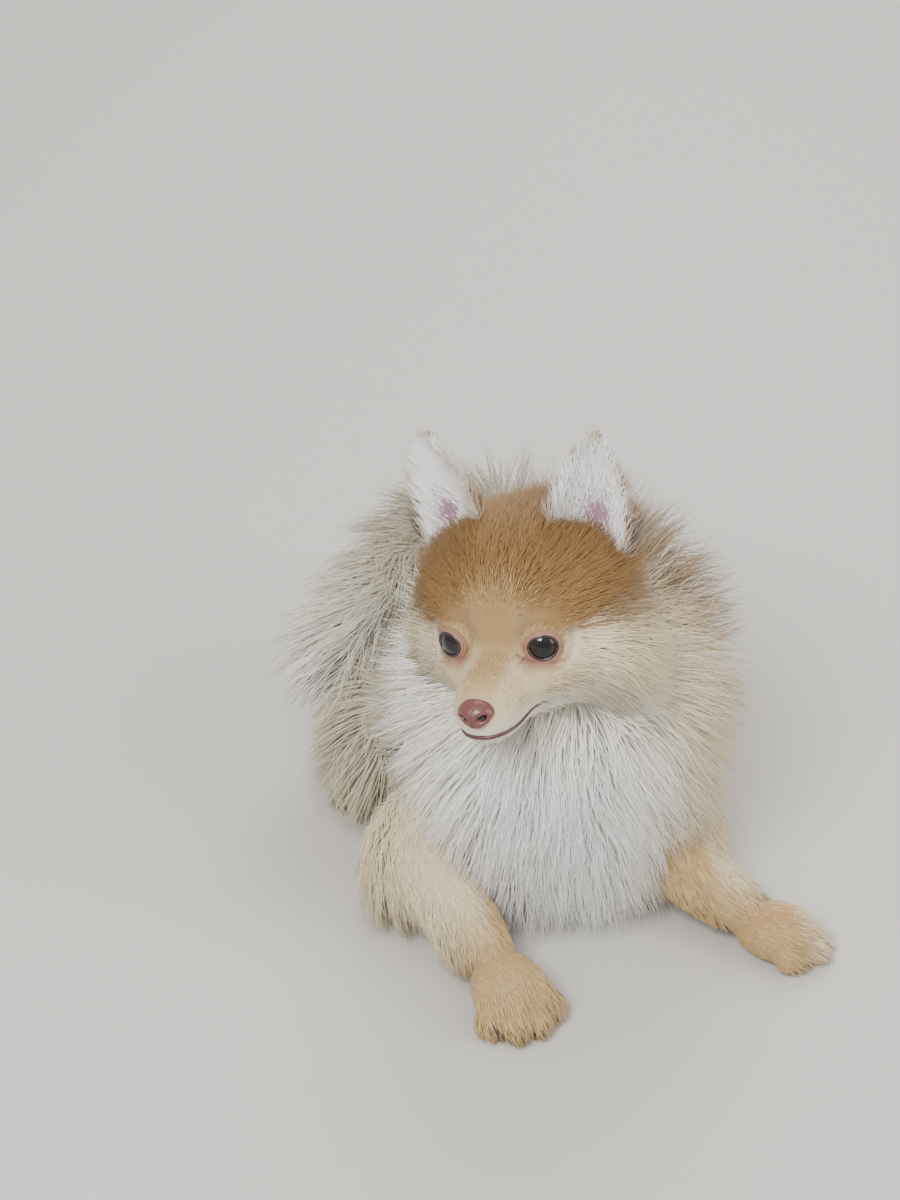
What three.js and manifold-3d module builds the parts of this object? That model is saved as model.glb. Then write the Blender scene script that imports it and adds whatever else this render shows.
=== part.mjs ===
// A life-size Pomeranian puppy that lies on its chest and belly, forelegs out in front, its head raised and
// turned to its right, its tail curled over its back. Millimetres, +Z up. The trunk faces -Y and the dog's
// left side is +X. Every body part is its own solid, with a narrow gap to the part that it grows from.
import * as THREE from "three";
import { mergeVertices } from "three/addons/utils/BufferGeometryUtils.js";
import Module from "manifold-3d";

const wasm = await Module();
wasm.setup();

// The whole dog
const GAP = 0.5;
const FLOOR_REACH = 400;
const WELD = 0.03;
const RANDOM_SEED = 555;
const RIGHT = -1;
const LEFT = 1;

// The head's place on the neck, and how it is turned: yaw to the dog's right, a little down, tilted
const HEAD_PLACE = [-17, -34, 143];
const HEAD_YAW = -36.5;
const HEAD_PITCH = -2;
const HEAD_TILT = -12;

// Eyes, in the head's own frame
const EYE_RADIUS = 7.5;
const EYE_CENTRE = [17, -22.6, -3.3];
const GAZE = [0.4, -0.915, 0.05];
const LID_THICKNESS = 1.5;
const EYE_OPENING_WIDE = 5.9;
const EYE_OPENING_HIGH = 5.2;
const EYE_SIDES = 12;
const EYE_ROWS = 8;

// Nose leather
const NOSE_CENTRE = [0, -54, -16.8];
const NOSE_HALF = [7.4, 6.2, 6.2];
const NOSE_TAPER = 0.38;
const NOSE_TOP_SHARE = 0.86;
const NOSE_LOBE = 0.05;
const NOSTRIL_RADIUS = 1.9;
const NOSTRIL_OUT = 3.9;
const NOSTRIL_DEPTH = 1.5;
const NOSTRIL_DROP = 0.6;
const NOSTRIL_TURN = 24;

// Ears
const EAR_ROOT = [26, 9, 18];
const EAR_HEIGHT = 48;
const EAR_HALF_WIDTH = 18.5;
const EAR_LEAN_OUT = 12;
const EAR_LEAN_BACK = 6;
const EAR_TURN_OUT = 15;
const EAR_CUP_DEPTH = 8;
const EAR_THICKNESS = 4.4;

// Locks of the long coat
const LOCK_WIDTH = 15;
const LOCK_THICKNESS = 4.2;
const LOCK_SINK = 7;
const LOCK_WANDER = 0.12;
// Along a lock: the place of each ring, from root 0 to tip 1, and its share of the full width
const LOCK_RINGS = [
  [0, 0.7],
  [0.36, 1],
  [0.72, 0.62],
];

// Seeded random numbers from 0 to 1
let randomState = RANDOM_SEED;
function random() {
  randomState = (randomState * 1664525 + 1013904223) % 4294967296;
  return randomState / 4294967296;
}
const between = (low, high) => low + (high - low) * random();
const radians = THREE.MathUtils.degToRad;
const vector = (list) => new THREE.Vector3(...list);
const mirrored = ([x, y, z], side) => [x * side, y, z];

// Solids

// A closed geometry as a solid, with its faces turned out if they point in.
function solid(geometry, weld = 1e-4) {
  const bare = new THREE.BufferGeometry();
  bare.setAttribute("position", geometry.getAttribute("position"));
  if (geometry.index) bare.setIndex(geometry.index);
  const merged = mergeVertices(bare, weld);
  const build = (triVerts) =>
    new wasm.Manifold(
      new wasm.Mesh({
        numProp: 3,
        vertProperties: new Float32Array(merged.attributes.position.array),
        triVerts,
      }),
    );
  const faces = new Uint32Array(merged.index.array);
  const made = build(faces);
  if (made.volume() > 0) return made;
  for (let i = 0; i < faces.length; i += 3) {
    [faces[i + 1], faces[i + 2]] = [faces[i + 2], faces[i + 1]];
  }
  return build(faces);
}

const fuse = (solids) => solids.reduce((all, next) => all.add(next));
const cut = (from, tools) => tools.reduce((left, tool) => left.subtract(tool), from);

function largest(body) {
  return body.decompose().reduce((best, next) => (next.volume() > best.volume() ? next : best));
}

// The triangles of a solid's largest closed surface
function surfaceOf(body) {
  const { vertProperties, triVerts, numProp } = largest(body).getMesh();
  const points = new Float32Array((vertProperties.length / numProp) * 3);
  for (let i = 0; i < points.length / 3; i++) {
    points.set(vertProperties.subarray(i * numProp, i * numProp + 3), i * 3);
  }
  const geometry = new THREE.BufferGeometry();
  geometry.setAttribute("position", new THREE.BufferAttribute(points, 3));
  return geometry.setIndex(new THREE.BufferAttribute(triVerts, 1));
}

// A named mesh from a solid, with corners closer than WELD made one
function meshOf(name, body, material) {
  const geometry = surfaceOf(solid(surfaceOf(body), WELD));
  geometry.computeVertexNormals();
  const mesh = new THREE.Mesh(geometry, material);
  mesh.name = name;
  return mesh;
}

// The floor, as a slab that trims whatever reaches below z = 0
const floorSlab = solid(
  new THREE.BoxGeometry(FLOOR_REACH * 2, FLOOR_REACH * 2, FLOOR_REACH).translate(0, 0, -FLOOR_REACH / 2),
);

// Surfaces

// A closed surface of rings: place(t, angle) gives the point at t from 0 to 1 along the body and at an angle
// round it. The first and last ring are one point each, and rings lie closer together near both ends.
function rings(rows, sides, place) {
  const points = [];
  for (let i = 0; i <= rows; i++) {
    const t = (1 - Math.cos((Math.PI * i) / rows)) / 2;
    const count = i === 0 || i === rows ? 1 : sides;
    for (let j = 0; j < count; j++) points.push(place(t, (2 * Math.PI * j) / sides));
  }
  const at = (i, j) => {
    if (i === 0) return 0;
    if (i === rows) return points.length - 1;
    return 1 + (i - 1) * sides + (j % sides);
  };
  const faces = [];
  for (let i = 0; i < rows; i++) {
    for (let j = 0; j < sides; j++) {
      if (i < rows - 1) faces.push(at(i, j), at(i + 1, j + 1), at(i + 1, j));
      if (i > 0) faces.push(at(i, j), at(i, j + 1), at(i + 1, j + 1));
      if (i === rows - 1 && i > 0) faces.splice(-3, 3, at(i, j), at(i, j + 1), at(i + 1, 0));
    }
  }
  return new THREE.BufferGeometry()
    .setAttribute("position", new THREE.Float32BufferAttribute(points.flatMap((p) => p.toArray()), 3))
    .setIndex(faces);
}

// A smooth line through a short list of numbers, read at t from 0 to 1
function smooth(values) {
  const line = new THREE.CatmullRomCurve3(values.map((v, i) => new THREE.Vector3(v, i, 0)));
  return (t) => line.getPoint(THREE.MathUtils.clamp(t, 0, 1)).x;
}

// A rounded body carried along a smooth path. halfWide and halfHigh are its section along the path, across
// and square to that; blunt says how square its two ends are. Returns point(t, angle, grow) and normal.
function bodyForm({ path, halfWide, halfHigh, blunt = 2.6, level = [0, 0, 1] }) {
  const line = new THREE.CatmullRomCurve3(path.map(vector));
  const wide = smooth(halfWide);
  const high = smooth(halfHigh);
  const frameAt = (t) => {
    const along = line.getTangent(t);
    const across = along.clone().cross(vector(level)).normalize();
    return { centre: line.getPoint(t), along, across, up: across.clone().cross(along) };
  };
  const point = (t, angle, grow = 0) => {
    const { centre, along, across, up } = frameAt(t);
    const close = Math.sqrt(Math.max(0, 1 - Math.abs(2 * t - 1) ** blunt));
    const out = close > 0 ? grow : 0;
    return centre
      .addScaledVector(across, Math.cos(angle) * (wide(t) * close + out))
      .addScaledVector(up, Math.sin(angle) * (high(t) * close + out))
      .addScaledVector(along, (t < 0.5 ? -grow : grow) * (1 - close));
  };
  const normal = (t, angle) => {
    const step = 0.01;
    const nearEnd = 0.001;
    const here = point(t, angle);
    const behind = point(Math.max(t - step, nearEnd), angle);
    const ahead = point(Math.min(t + step, 1 - nearEnd), angle).sub(behind);
    const around = point(t, angle + step).sub(point(t, angle - step));
    const out = around.cross(ahead).normalize();
    return out.dot(here.sub(line.getPoint(t))) < 0 ? out.negate() : out;
  };
  const solidOf = (rows, sides, grow = 0) => solid(rings(rows, sides, (t, a) => point(t, a, grow)));
  return { point, normal, solidOf, centreAt: (t) => line.getPoint(t), frameAt };
}

// One flat, tapered lock. It leaves its root along `rise`, bends over to `lie`, and ends in a point. Its
// broad side faces `face`. grow makes it fatter, for the cut that keeps a neighbour clear of it.
function lock({ root, rise, lie, face, length, width = LOCK_WIDTH, thickness = LOCK_THICKNESS }, grow = 0) {
  const spine = (s) =>
    root
      .clone()
      .addScaledVector(rise, length * (s - (s * s) / 2))
      .addScaledVector(lie, (length * s * s) / 2);
  const heading = (s) => rise.clone().lerp(lie, s).normalize();
  const points = [];
  for (const [s, share] of LOCK_RINGS) {
    const along = heading(s);
    const across = along.clone().cross(face).normalize();
    const out = across.clone().cross(along);
    const centre = s === 0 ? spine(s).addScaledVector(along, -grow) : spine(s);
    const halfWide = (width * share) / 2 + grow;
    const halfThick = (thickness * (0.45 + 0.55 * share)) / 2 + grow;
    points.push(
      centre.clone().addScaledVector(across, halfWide),
      centre.clone().addScaledVector(out, halfThick),
      centre.clone().addScaledVector(across, -halfWide),
      centre.clone().addScaledVector(out, -halfThick),
    );
  }
  points.push(spine(1).addScaledVector(heading(1), grow));
  const tip = points.length - 1;
  const faces = [0, 2, 1, 0, 3, 2];
  for (let ring = 0; ring < LOCK_RINGS.length; ring++) {
    for (let k = 0; k < 4; k++) {
      const a = ring * 4 + k;
      const b = ring * 4 + ((k + 1) % 4);
      if (ring === LOCK_RINGS.length - 1) faces.push(a, b, tip);
      else faces.push(a, b, b + 4, a, b + 4, a + 4);
    }
  }
  return solid(
    new THREE.BufferGeometry()
      .setAttribute("position", new THREE.Float32BufferAttribute(points.flatMap((p) => p.toArray()), 3))
      .setIndex(faces),
  );
}

// Locks over a body form, in staggered rows. `rows` holds the places along the form, `around` how many go
// round, and `style(point, normal, t, angle)` gives each lock's lie, length and size, or null for none.
function locksOver(form, { rows, around, style }) {
  const made = [];
  rows.forEach((row, i) => {
    const count = around[i];
    for (let j = 0; j < count; j++) {
      const t = row + between(-0.012, 0.012);
      const angle = (2 * Math.PI * (j + (i % 2) / 2 + between(-0.18, 0.18))) / count;
      const at = form.point(t, angle);
      const normal = form.normal(t, angle);
      const chosen = style(at, normal, t, angle);
      if (!chosen) continue;
      const { lie, lift = 0.6, length, width, thickness } = chosen;
      const wander = new THREE.Vector3(between(-1, 1), between(-1, 1), between(-1, 1));
      wander.multiplyScalar(LOCK_WANDER);
      const flow = lie.clone().add(wander);
      const along = flow.clone().addScaledVector(normal, -flow.dot(normal)).normalize();
      made.push({
        root: at.clone().addScaledVector(normal, -LOCK_SINK),
        rise: along.clone().multiplyScalar(1 - lift).addScaledVector(normal, lift).normalize(),
        lie: flow.normalize(),
        face: normal,
        length: (length + LOCK_SINK) * between(0.88, 1.08),
        width,
        thickness,
      });
    }
  });
  return made;
}

// The fused solid of a form and its locks. clearanceOf is the same, fattened, to cut a neighbour clear.
const dressed = (core, locks) => fuse([core(0), ...locks.map((each) => lock(each))]);
const clearanceOf = (core, locks) =>
  fuse([dressed(core, locks), core(GAP), ...locks.map((each) => lock(each, GAP))]);

// Materials
const paint = (colour, roughness) =>
  new THREE.MeshStandardMaterial({ color: new THREE.Color(colour), roughness, metalness: 0 });
const orangeCoat = paint("#a87a45", 0.9);
const creamCoat = paint("#d3c6a4", 0.9);
const whiteCoat = paint("#dcdcd4", 0.9);
const tanCoat = paint("#b79c70", 0.9);
const noseLeather = paint("#5f3f3a", 0.45);
const darkEye = paint("#15141b", 0.08);

// Head: rounded masses that melt into each other, in the head's own frame, facing -Y.
// Each has its centre and its half sizes, and those off the middle are mirrored.
const HEAD_MASSES = {
  skull: [0, 10, 6, 37, 37, 33],
  forehead: [0, -12, 10, 24, 17, 17],
  cheek: [26, -3, -12, 21, 25, 22],
  temple: [27, 0, 5, 19, 21, 16],
  cheekbone: [16.5, -22, -15, 11, 12, 10],
  muzzle: [0, -34, -16, 12, 21, 10],
  upperLip: [5.4, -43, -21, 7, 10, 6.4],
  chin: [0, -38.5, -29.3, 8, 15.5, 5],
  throat: [0, 4, -22, 26, 28, 17],
};
const HEAD_CLEARANCE = 1.1;
const HEAD_ROWS = 24;
const HEAD_SIDES = 22;
const MUZZLE_AXIS_DROP = 17;
const MELT = 4.2;

const headMasses = Object.values(HEAD_MASSES).flatMap(([x, y, z, a, b, c]) =>
  (x === 0 ? [x] : [x, -x]).map((across) => [across, y, z, a, b, c]),
);

// How far a point lies outside the head, in about millimetres; below 0 it is inside.
function headField(x, y, z, grow = 0) {
  let sum = 0;
  for (const [cx, cy, cz, a, b, c] of headMasses) {
    const u = (x - cx) / (a + grow);
    const v = (y - cy) / (b + grow);
    const w = (z - cz) / (c + grow);
    const k = Math.hypot(u, v, w);
    const slope = Math.hypot(u / (a + grow), v / (b + grow), w / (c + grow));
    sum += Math.exp(-((k * (k - 1)) / Math.max(slope, 1e-6)) / MELT);
  }
  return -MELT * Math.log(sum);
}

// The distance along a ray at which the head's surface is met
function headReach(from, direction, grow = 0, far = 90) {
  let low = 0;
  let high = far;
  for (let i = 0; i < 30; i++) {
    const middle = (low + high) / 2;
    const [x, y, z] = from.map((v, k) => v + direction[k] * middle);
    if (headField(x, y, z, grow) < 0) low = middle;
    else high = middle;
  }
  return low;
}

// The head's rings are centred on a line that drops from the skull's middle to the muzzle's
const headAxisHeight = (y) => -MUZZLE_AXIS_DROP * THREE.MathUtils.smoothstep(-y, 6, 46);

function headSolid(rows, sides, grow = 0) {
  const back = headReach([0, 0, 0], [0, 1, 0], grow);
  const front = headReach([0, -30, headAxisHeight(-30)], [0, -1, -0.08], grow) + 30;
  const place = (t, angle) => {
    const y = THREE.MathUtils.lerp(back, -front, t);
    const axis = [0, y, headAxisHeight(y)];
    const reach = t === 0 || t === 1 ? 0 : headReach(axis, [Math.sin(angle), 0, Math.cos(angle)], grow);
    return new THREE.Vector3(Math.sin(angle) * reach, y, axis[2] + Math.cos(angle) * reach);
  };
  return solid(rings(rows, sides, place));
}

const headGroup = new THREE.Group();
headGroup.position.set(...HEAD_PLACE);
headGroup.rotation.set(radians(HEAD_PITCH), radians(HEAD_TILT), radians(HEAD_YAW), "ZXY");
headGroup.updateMatrixWorld(true);
const headMatrix = headGroup.matrixWorld;
const inBody = (body) => body.transform(headMatrix.elements);

// Eyes: a ball in a socket, under lids that are a shell round the ball with an almond opening
function ball(radius, centre) {
  return solid(new THREE.SphereGeometry(radius, EYE_SIDES, EYE_ROWS).translate(...centre));
}

function eyeOpening(side) {
  const rim = new THREE.CylinderGeometry(1, 0.7, 14, 12);
  rim.scale(EYE_OPENING_WIDE, 1, EYE_OPENING_HIGH).translate(0, 7, 0);
  const outward = vector(mirrored(GAZE, side)).normalize();
  const across = outward.clone().cross(new THREE.Vector3(0, 0, 1)).normalize();
  const upward = across.clone().cross(outward);
  const turn = new THREE.Quaternion().setFromRotationMatrix(
    new THREE.Matrix4().makeBasis(across, outward, upward),
  );
  rim.applyQuaternion(turn).translate(...mirrored(EYE_CENTRE, side));
  return solid(rim);
}

// Mouth: a groove between two lips. It runs under the nose and back along both sides of the muzzle.
const MOUTH_CORNER_Y = -23;
const MOUTH_FRONT_Z = -27.4;
const MOUTH_RISE = 1.6;
const MOUTH_GROOVE = 0.7;
const LIP_RADIUS = 1.15;
const MOUTH_START_Y = -30;
const MOUTH_RISE_FROM_Y = -44;
const MOUTH_STEPS = 9;
const LIP_SINK = 0.4;
const LIP_DROPS = [1.1, -1.2];
const MUZZLE_FAR = 40;
const mouthReach = (from, direction) => headReach(from, direction, 0, MUZZLE_FAR);
const MOUTH_FRONT_Y = MOUTH_START_Y + LIP_SINK - mouthReach([0, MOUTH_START_Y, MOUTH_FRONT_Z], [0, -1, 0]);
const mouthHeight = (y) =>
  MOUTH_FRONT_Z + MOUTH_RISE * THREE.MathUtils.smoothstep(y, MOUTH_RISE_FROM_Y, MOUTH_CORNER_Y);

function mouthLine(drop) {
  const half = [];
  for (let i = 0; i <= MOUTH_STEPS; i++) {
    const turn = (i / MOUTH_STEPS) * (Math.PI / 2);
    const y = THREE.MathUtils.lerp(MOUTH_CORNER_Y, MOUTH_FRONT_Y, Math.sin(turn));
    const z = mouthHeight(y) + drop;
    half.push([mouthReach([0, y, z], [1, 0, 0]), y, z]);
  }
  return [...half, ...half.slice(0, -1).map(([x, y, z]) => [-x, y, z]).reverse()];
}

// A round cord along the mouth, `drop` above or below its line
const mouthCord = (drop, radius) =>
  bodyForm({
    path: mouthLine(drop),
    halfWide: [radius, radius],
    halfHigh: [radius, radius],
    blunt: 8,
  }).solidOf(11, 4);

// Nose leather: a rounded block, flatter on top, with two nostrils that open forwards and outwards
function noseSolid(grow = 0) {
  const place = (t, angle) => {
    const polar = Math.PI * t;
    const x = Math.sin(polar) * Math.cos(angle);
    const z = Math.sin(polar) * Math.sin(angle);
    const y = -Math.cos(polar);
    const taper = z < 0 ? 1 + NOSE_TAPER * z : 1;
    const flat = z > 0 ? NOSE_TOP_SHARE : 1;
    const [a, b, c] = NOSE_HALF.map((half) => half + grow);
    const lobe = 1 + NOSE_LOBE * Math.cos(4 * angle) * Math.sin(polar) ** 2;
    return vector(NOSE_CENTRE).add(new THREE.Vector3(x * a * taper * lobe, y * b, z * c * flat));
  };
  return solid(rings(8, 14, place));
}

function nostril(side) {
  const hole = new THREE.SphereGeometry(NOSTRIL_RADIUS, 8, 6).scale(1, 1.7, 0.85);
  hole.rotateZ(radians(NOSTRIL_TURN * side));
  const [x, y, z] = NOSE_CENTRE;
  return solid(hole.translate(x + side * NOSTRIL_OUT, y - NOSE_HALF[1] + NOSTRIL_DEPTH, z - NOSTRIL_DROP));
}

const nose = cut(noseSolid(), [nostril(LEFT), nostril(RIGHT)]);
const eyeBalls = [RIGHT, LEFT].map((side) => ball(EYE_RADIUS, mirrored(EYE_CENTRE, side)));
const sockets = [RIGHT, LEFT].map((side) => ball(EYE_RADIUS + GAP, mirrored(EYE_CENTRE, side)));
const lids = [RIGHT, LEFT].map((side) => ball(EYE_RADIUS + LID_THICKNESS, mirrored(EYE_CENTRE, side)));
const lips = LIP_DROPS.map((drop) => mouthCord(drop, LIP_RADIUS));
const head = cut(fuse([headSolid(HEAD_ROWS, HEAD_SIDES), ...lids, ...lips]), [
  ...sockets,
  eyeOpening(LEFT),
  eyeOpening(RIGHT),
  mouthCord(0, MOUTH_GROOVE),
  noseSolid(GAP),
]);
const headCutter = inBody(
  fuse([
    headSolid(HEAD_ROWS, HEAD_SIDES, HEAD_CLEARANCE),
    ...LIP_DROPS.map((drop) => mouthCord(drop, LIP_RADIUS + HEAD_CLEARANCE)),
  ]),
);

// Ears: an upright leaf whose sides curl forwards into a cup, open to the front and outwards
function earSolid(side, grow = 0) {
  const ACROSS = 8;
  const UP = 8;
  const half = (u) => EAR_HALF_WIDTH * (1 - u ** 2.1) ** 0.62 * (0.9 + 0.35 * u * (1 - u)) + grow;
  const sheet = (u, v, face) => {
    const cup = EAR_CUP_DEPTH * (1 - 0.55 * u) * (1 - v * v);
    const rim = Math.sqrt(Math.max(0, 1 - v ** 6));
    const thick = (EAR_THICKNESS * (1.15 - 0.5 * u) * rim) / 2 + grow;
    return new THREE.Vector3(v * half(u), cup + face * thick, u * (EAR_HEIGHT + grow));
  };
  const points = [];
  const index = new Map();
  const put = (i, j, face) => {
    const edge = j === 0 || j === ACROSS || i === UP;
    const key = i === UP ? "tip" : `${i},${j},${edge ? 0 : face}`;
    if (!index.has(key)) {
      const v = (2 * j) / ACROSS - 1;
      const flat = edge ? 0 : face;
      index.set(key, points.length);
      points.push(sheet(i / UP, i === UP ? 0 : v, flat));
    }
    return index.get(key);
  };
  const faces = [];
  const quad = (a, b, c, d) => {
    if (a !== b && b !== c && c !== a) faces.push(a, b, c);
    if (a !== c && c !== d && d !== a) faces.push(a, c, d);
  };
  for (let i = 0; i < UP; i++) {
    for (let j = 0; j < ACROSS; j++) {
      quad(put(i, j, 1), put(i, j + 1, 1), put(i + 1, j + 1, 1), put(i + 1, j, 1));
      quad(put(i, j, -1), put(i + 1, j, -1), put(i + 1, j + 1, -1), put(i, j + 1, -1));
    }
  }
  for (let j = 0; j < ACROSS; j++) {
    quad(put(0, j, -1), put(0, j + 1, -1), put(0, j + 1, 1), put(0, j, 1));
  }
  const leaf = new THREE.BufferGeometry()
    .setAttribute("position", new THREE.Float32BufferAttribute(points.flatMap((p) => p.toArray()), 3))
    .setIndex(faces);
  leaf.rotateZ(radians(EAR_TURN_OUT * side));
  leaf.rotateX(radians(-EAR_LEAN_BACK));
  leaf.rotateY(radians(EAR_LEAN_OUT * side));
  return solid(leaf.translate(...mirrored(EAR_ROOT, side)));
}

const headWall = headSolid(HEAD_ROWS, HEAD_SIDES, HEAD_CLEARANCE);
const ears = [RIGHT, LEFT].map((side) => cut(earSolid(side), [headWall]));
const earCutters = [RIGHT, LEFT].map((side) => inBody(earSolid(side, GAP)));

headGroup.add(
  meshOf("head", head, orangeCoat),
  meshOf("nose", nose, noseLeather),
  meshOf("eye_right", eyeBalls[0], darkEye),
  meshOf("eye_left", eyeBalls[1], darkEye),
  meshOf("ear_right", ears[0], orangeCoat),
  meshOf("ear_left", ears[1], orangeCoat),
);

// Paws: four toes over one pad, along the paw's own heading, with short claws
const TOE_RADIUS = 6.6;
const TOE_RADIUS_AT_WIDTH = 17;
const TOE_PLACES = [-1.5, -0.5, 0.5, 1.5];
const TOE_SPREAD = 2.05;
const OUTER_TOE_BACK = 5.5;
const PAD_FLATNESS = 0.72;
const PAW_CLEARANCE = 0.7;
const CLAW_RADIUS = 1.3;
const CLAW_LENGTH = 8;
const CLAW_HEIGHT = 5;
const CLAW_ROOT_BACK = 4;
const CLAW_DROOP = 0.3;

// The point over each toe, `back` behind the toe's tip, with the paw's heading
function toePoints({ heel, toe, width }, back) {
  const to = vector(toe);
  const along = to.clone().sub(vector(heel)).setZ(0).normalize();
  const across = new THREE.Vector3(-along.y, along.x, 0);
  return TOE_PLACES.map((place) => {
    const reach = Math.abs(place) > 1 ? -OUTER_TOE_BACK : 0;
    const at = to.clone().addScaledVector(across, (place * width) / TOE_SPREAD);
    return { at: at.addScaledVector(along, reach - back), along };
  });
}

function pawSolid(paw, grow = 0) {
  const { heel, toe, width } = paw;
  const from = vector(heel);
  const to = vector(toe);
  const pad = bodyForm({
    path: [heel, from.clone().lerp(to, 0.55).toArray(), from.clone().lerp(to, 0.82).toArray()],
    halfWide: [width * 0.78, width, width * 0.86],
    halfHigh: [width * PAD_FLATNESS, width * PAD_FLATNESS, width * 0.6],
    blunt: 3,
  });
  const radius = TOE_RADIUS * (width / TOE_RADIUS_AT_WIDTH);
  const toes = toePoints(paw, radius).map(({ at }) =>
    solid(
      new THREE.SphereGeometry(radius + grow, 7, 5)
        .scale(1, 1, 0.95)
        .translate(at.x, at.y, radius * 0.9),
    ),
  );
  return fuse([pad.solidOf(5, 8, grow), ...toes]);
}

function clawSolids(paw, grow = 0) {
  return toePoints(paw, CLAW_ROOT_BACK).map(({ at, along }) => {
    const spike = new THREE.ConeGeometry(CLAW_RADIUS + grow, CLAW_LENGTH + 2 * grow, 4);
    spike.rotateX(CLAW_DROOP - Math.PI / 2).translate(0, -CLAW_LENGTH / 2, 0);
    spike.rotateZ(Math.atan2(along.x, -along.y));
    return solid(spike.translate(at.x, at.y, CLAW_HEIGHT));
  });
}

const pawBody = (paw) => cut(fuse([pawSolid(paw), ...clawSolids(paw)]), [floorSlab]);
const pawCutters = (paw) => [pawSolid(paw, PAW_CLEARANCE), ...clawSolids(paw, GAP)];

// Legs, out to their coat. Each runs from inside the trunk to its paw, where it is cut to a flat joint.
const LEGS = {
  foreleg_right: {
    path: [[-44, -14, 52], [-61, -31, 28], [-51, -60, 22], [-38, -99, 13]],
    halfWide: [20, 21, 17.5, 15],
    halfHigh: [24, 22, 17, 14],
    paw: { name: "forepaw_right", heel: [-41, -84, 13], toe: [-35, -124, 8], width: 17.5 },
  },
  foreleg_left: {
    path: [[40, -14, 52], [46, -38, 30], [50, -66, 22], [71, -95, 12]],
    halfWide: [20, 20, 16.5, 14.5],
    halfHigh: [24, 21, 16.5, 13],
    paw: { name: "forepaw_left", heel: [60, -86, 12], toe: [92, -103, 7], width: 16.5 },
  },
};

// Hind legs, folded beside the belly: the thigh out to half its coat, and the foot flat on the floor
const THIGH_PATH = [
  [34, 84, 60],
  [50, 66, 46],
  [58, 44, 32],
  [57, 26, 22],
];
const HIND_PAW = { heel: [60, 70, 12], toe: [66, 30, 7], width: 15 };

const legForms = Object.entries(LEGS).map(([name, leg]) => {
  const form = bodyForm({ ...leg, blunt: 5 });
  return { name, paw: leg.paw, form };
});

// The torso, the neck with its ruff and bib, the thighs and the tail: each has a core that reaches at most
// half way out through the coat, and locks from there to the tips.
const NECK = bodyForm({
  path: [[3, -38, 0], [4, -37, 42], [5, -24, 82], [4, -4, 114], [4, 12, 144]],
  halfWide: [40, 58, 65, 60, 44],
  halfHigh: [14, 28, 43, 42, 30],
  blunt: 3.2,
  level: [0, 1, 0],
});
const TORSO = bodyForm({
  path: [[2, -44, 50], [0, 0, 52], [0, 50, 52], [2, 108, 50]],
  halfWide: [46, 60, 62, 50],
  halfHigh: [44, 57, 57, 46],
  blunt: 3.2,
});
const TAIL = bodyForm({
  path: [[6, 92, 72], [6, 104, 94], [-16, 100, 102], [-46, 82, 82], [-66, 64, 58]],
  halfWide: [12, 13, 14, 14, 10],
  halfHigh: [12, 13, 14, 14, 10],
  blunt: 4,
});

const thighForms = [RIGHT, LEFT].map((side) =>
  bodyForm({
    path: THIGH_PATH.map((place) => mirrored(place, side)),
    halfWide: [18, 22, 20, 15],
    halfHigh: [24, 32, 28, 18],
    blunt: 3,
  }),
);

const DOWN = new THREE.Vector3(0, 0, -1);
const BACK = new THREE.Vector3(0, 1, 0);
const flow = (normal, out, back, down) =>
  normal.clone().multiplyScalar(out).addScaledVector(BACK, back).addScaledVector(DOWN, down).normalize();

// The ruff lies outwards and back round the neck, and turns down into the bib in front
function ruffStyle(at, normal) {
  if (at.y > 22 || (at.z > 106 && at.y < -22)) return null;
  const low = THREE.MathUtils.clamp((112 - at.z) / 70, 0, 1);
  const nape = THREE.MathUtils.clamp((at.z - 118) / 30, 0, 1);
  const lie = flow(normal, 0.62, 0.5 + 0.4 * nape - 0.6 * low, 0.3 + 0.7 * low - 0.5 * nape);
  return { lie, lift: 0.4, length: 37, width: 25, thickness: 5 };
}

// The coat of the back and sides lies back and down
function torsoStyle(at, normal) {
  if (at.y < 16 || at.z < 56) return null;
  return { lie: flow(normal, 0.55, 0.8, 0.3), lift: 0.4, length: 35, width: 26, thickness: 5 };
}

function thighStyle(at, normal) {
  if (Math.abs(at.x) < 48 || at.z < 14) return null;
  return { lie: flow(normal, 0.5, 0.75, 0.45), lift: 0.4, length: 29, width: 23, thickness: 4.6 };
}

const neckLocks = locksOver(NECK, {
  rows: [0.22, 0.34, 0.46, 0.58, 0.7, 0.84],
  around: [9, 12, 13, 14, 13, 10],
  style: ruffStyle,
});
const torsoLocks = locksOver(TORSO, {
  rows: [0.44, 0.58, 0.72, 0.86],
  around: [11, 11, 10, 8],
  style: torsoStyle,
});
const thighLocks = thighForms.map((form) =>
  locksOver(form, { rows: [0.25, 0.5, 0.75], around: [9, 9, 8], style: thighStyle }),
);
const tailLocks = locksOver(TAIL, {
  rows: [0.3, 0.52, 0.72, 0.9],
  around: [6, 6, 6, 5],
  style: (at, normal, t) => ({
    lie: normal.clone().addScaledVector(TAIL.frameAt(t).along, 0.8).normalize(),
    lift: 0.6,
    length: 36,
    width: 17,
    thickness: 4.4,
  }),
});

const neckCore = (grow) => NECK.solidOf(12, 16, grow);
const torsoCore = (grow) => TORSO.solidOf(12, 16, grow);
const tailCore = (grow) => TAIL.solidOf(10, 8, grow);
const thighCores = thighForms.map((form) => (grow) => form.solidOf(10, 12, grow));

const dog = new THREE.Group();
dog.add(headGroup);

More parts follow.
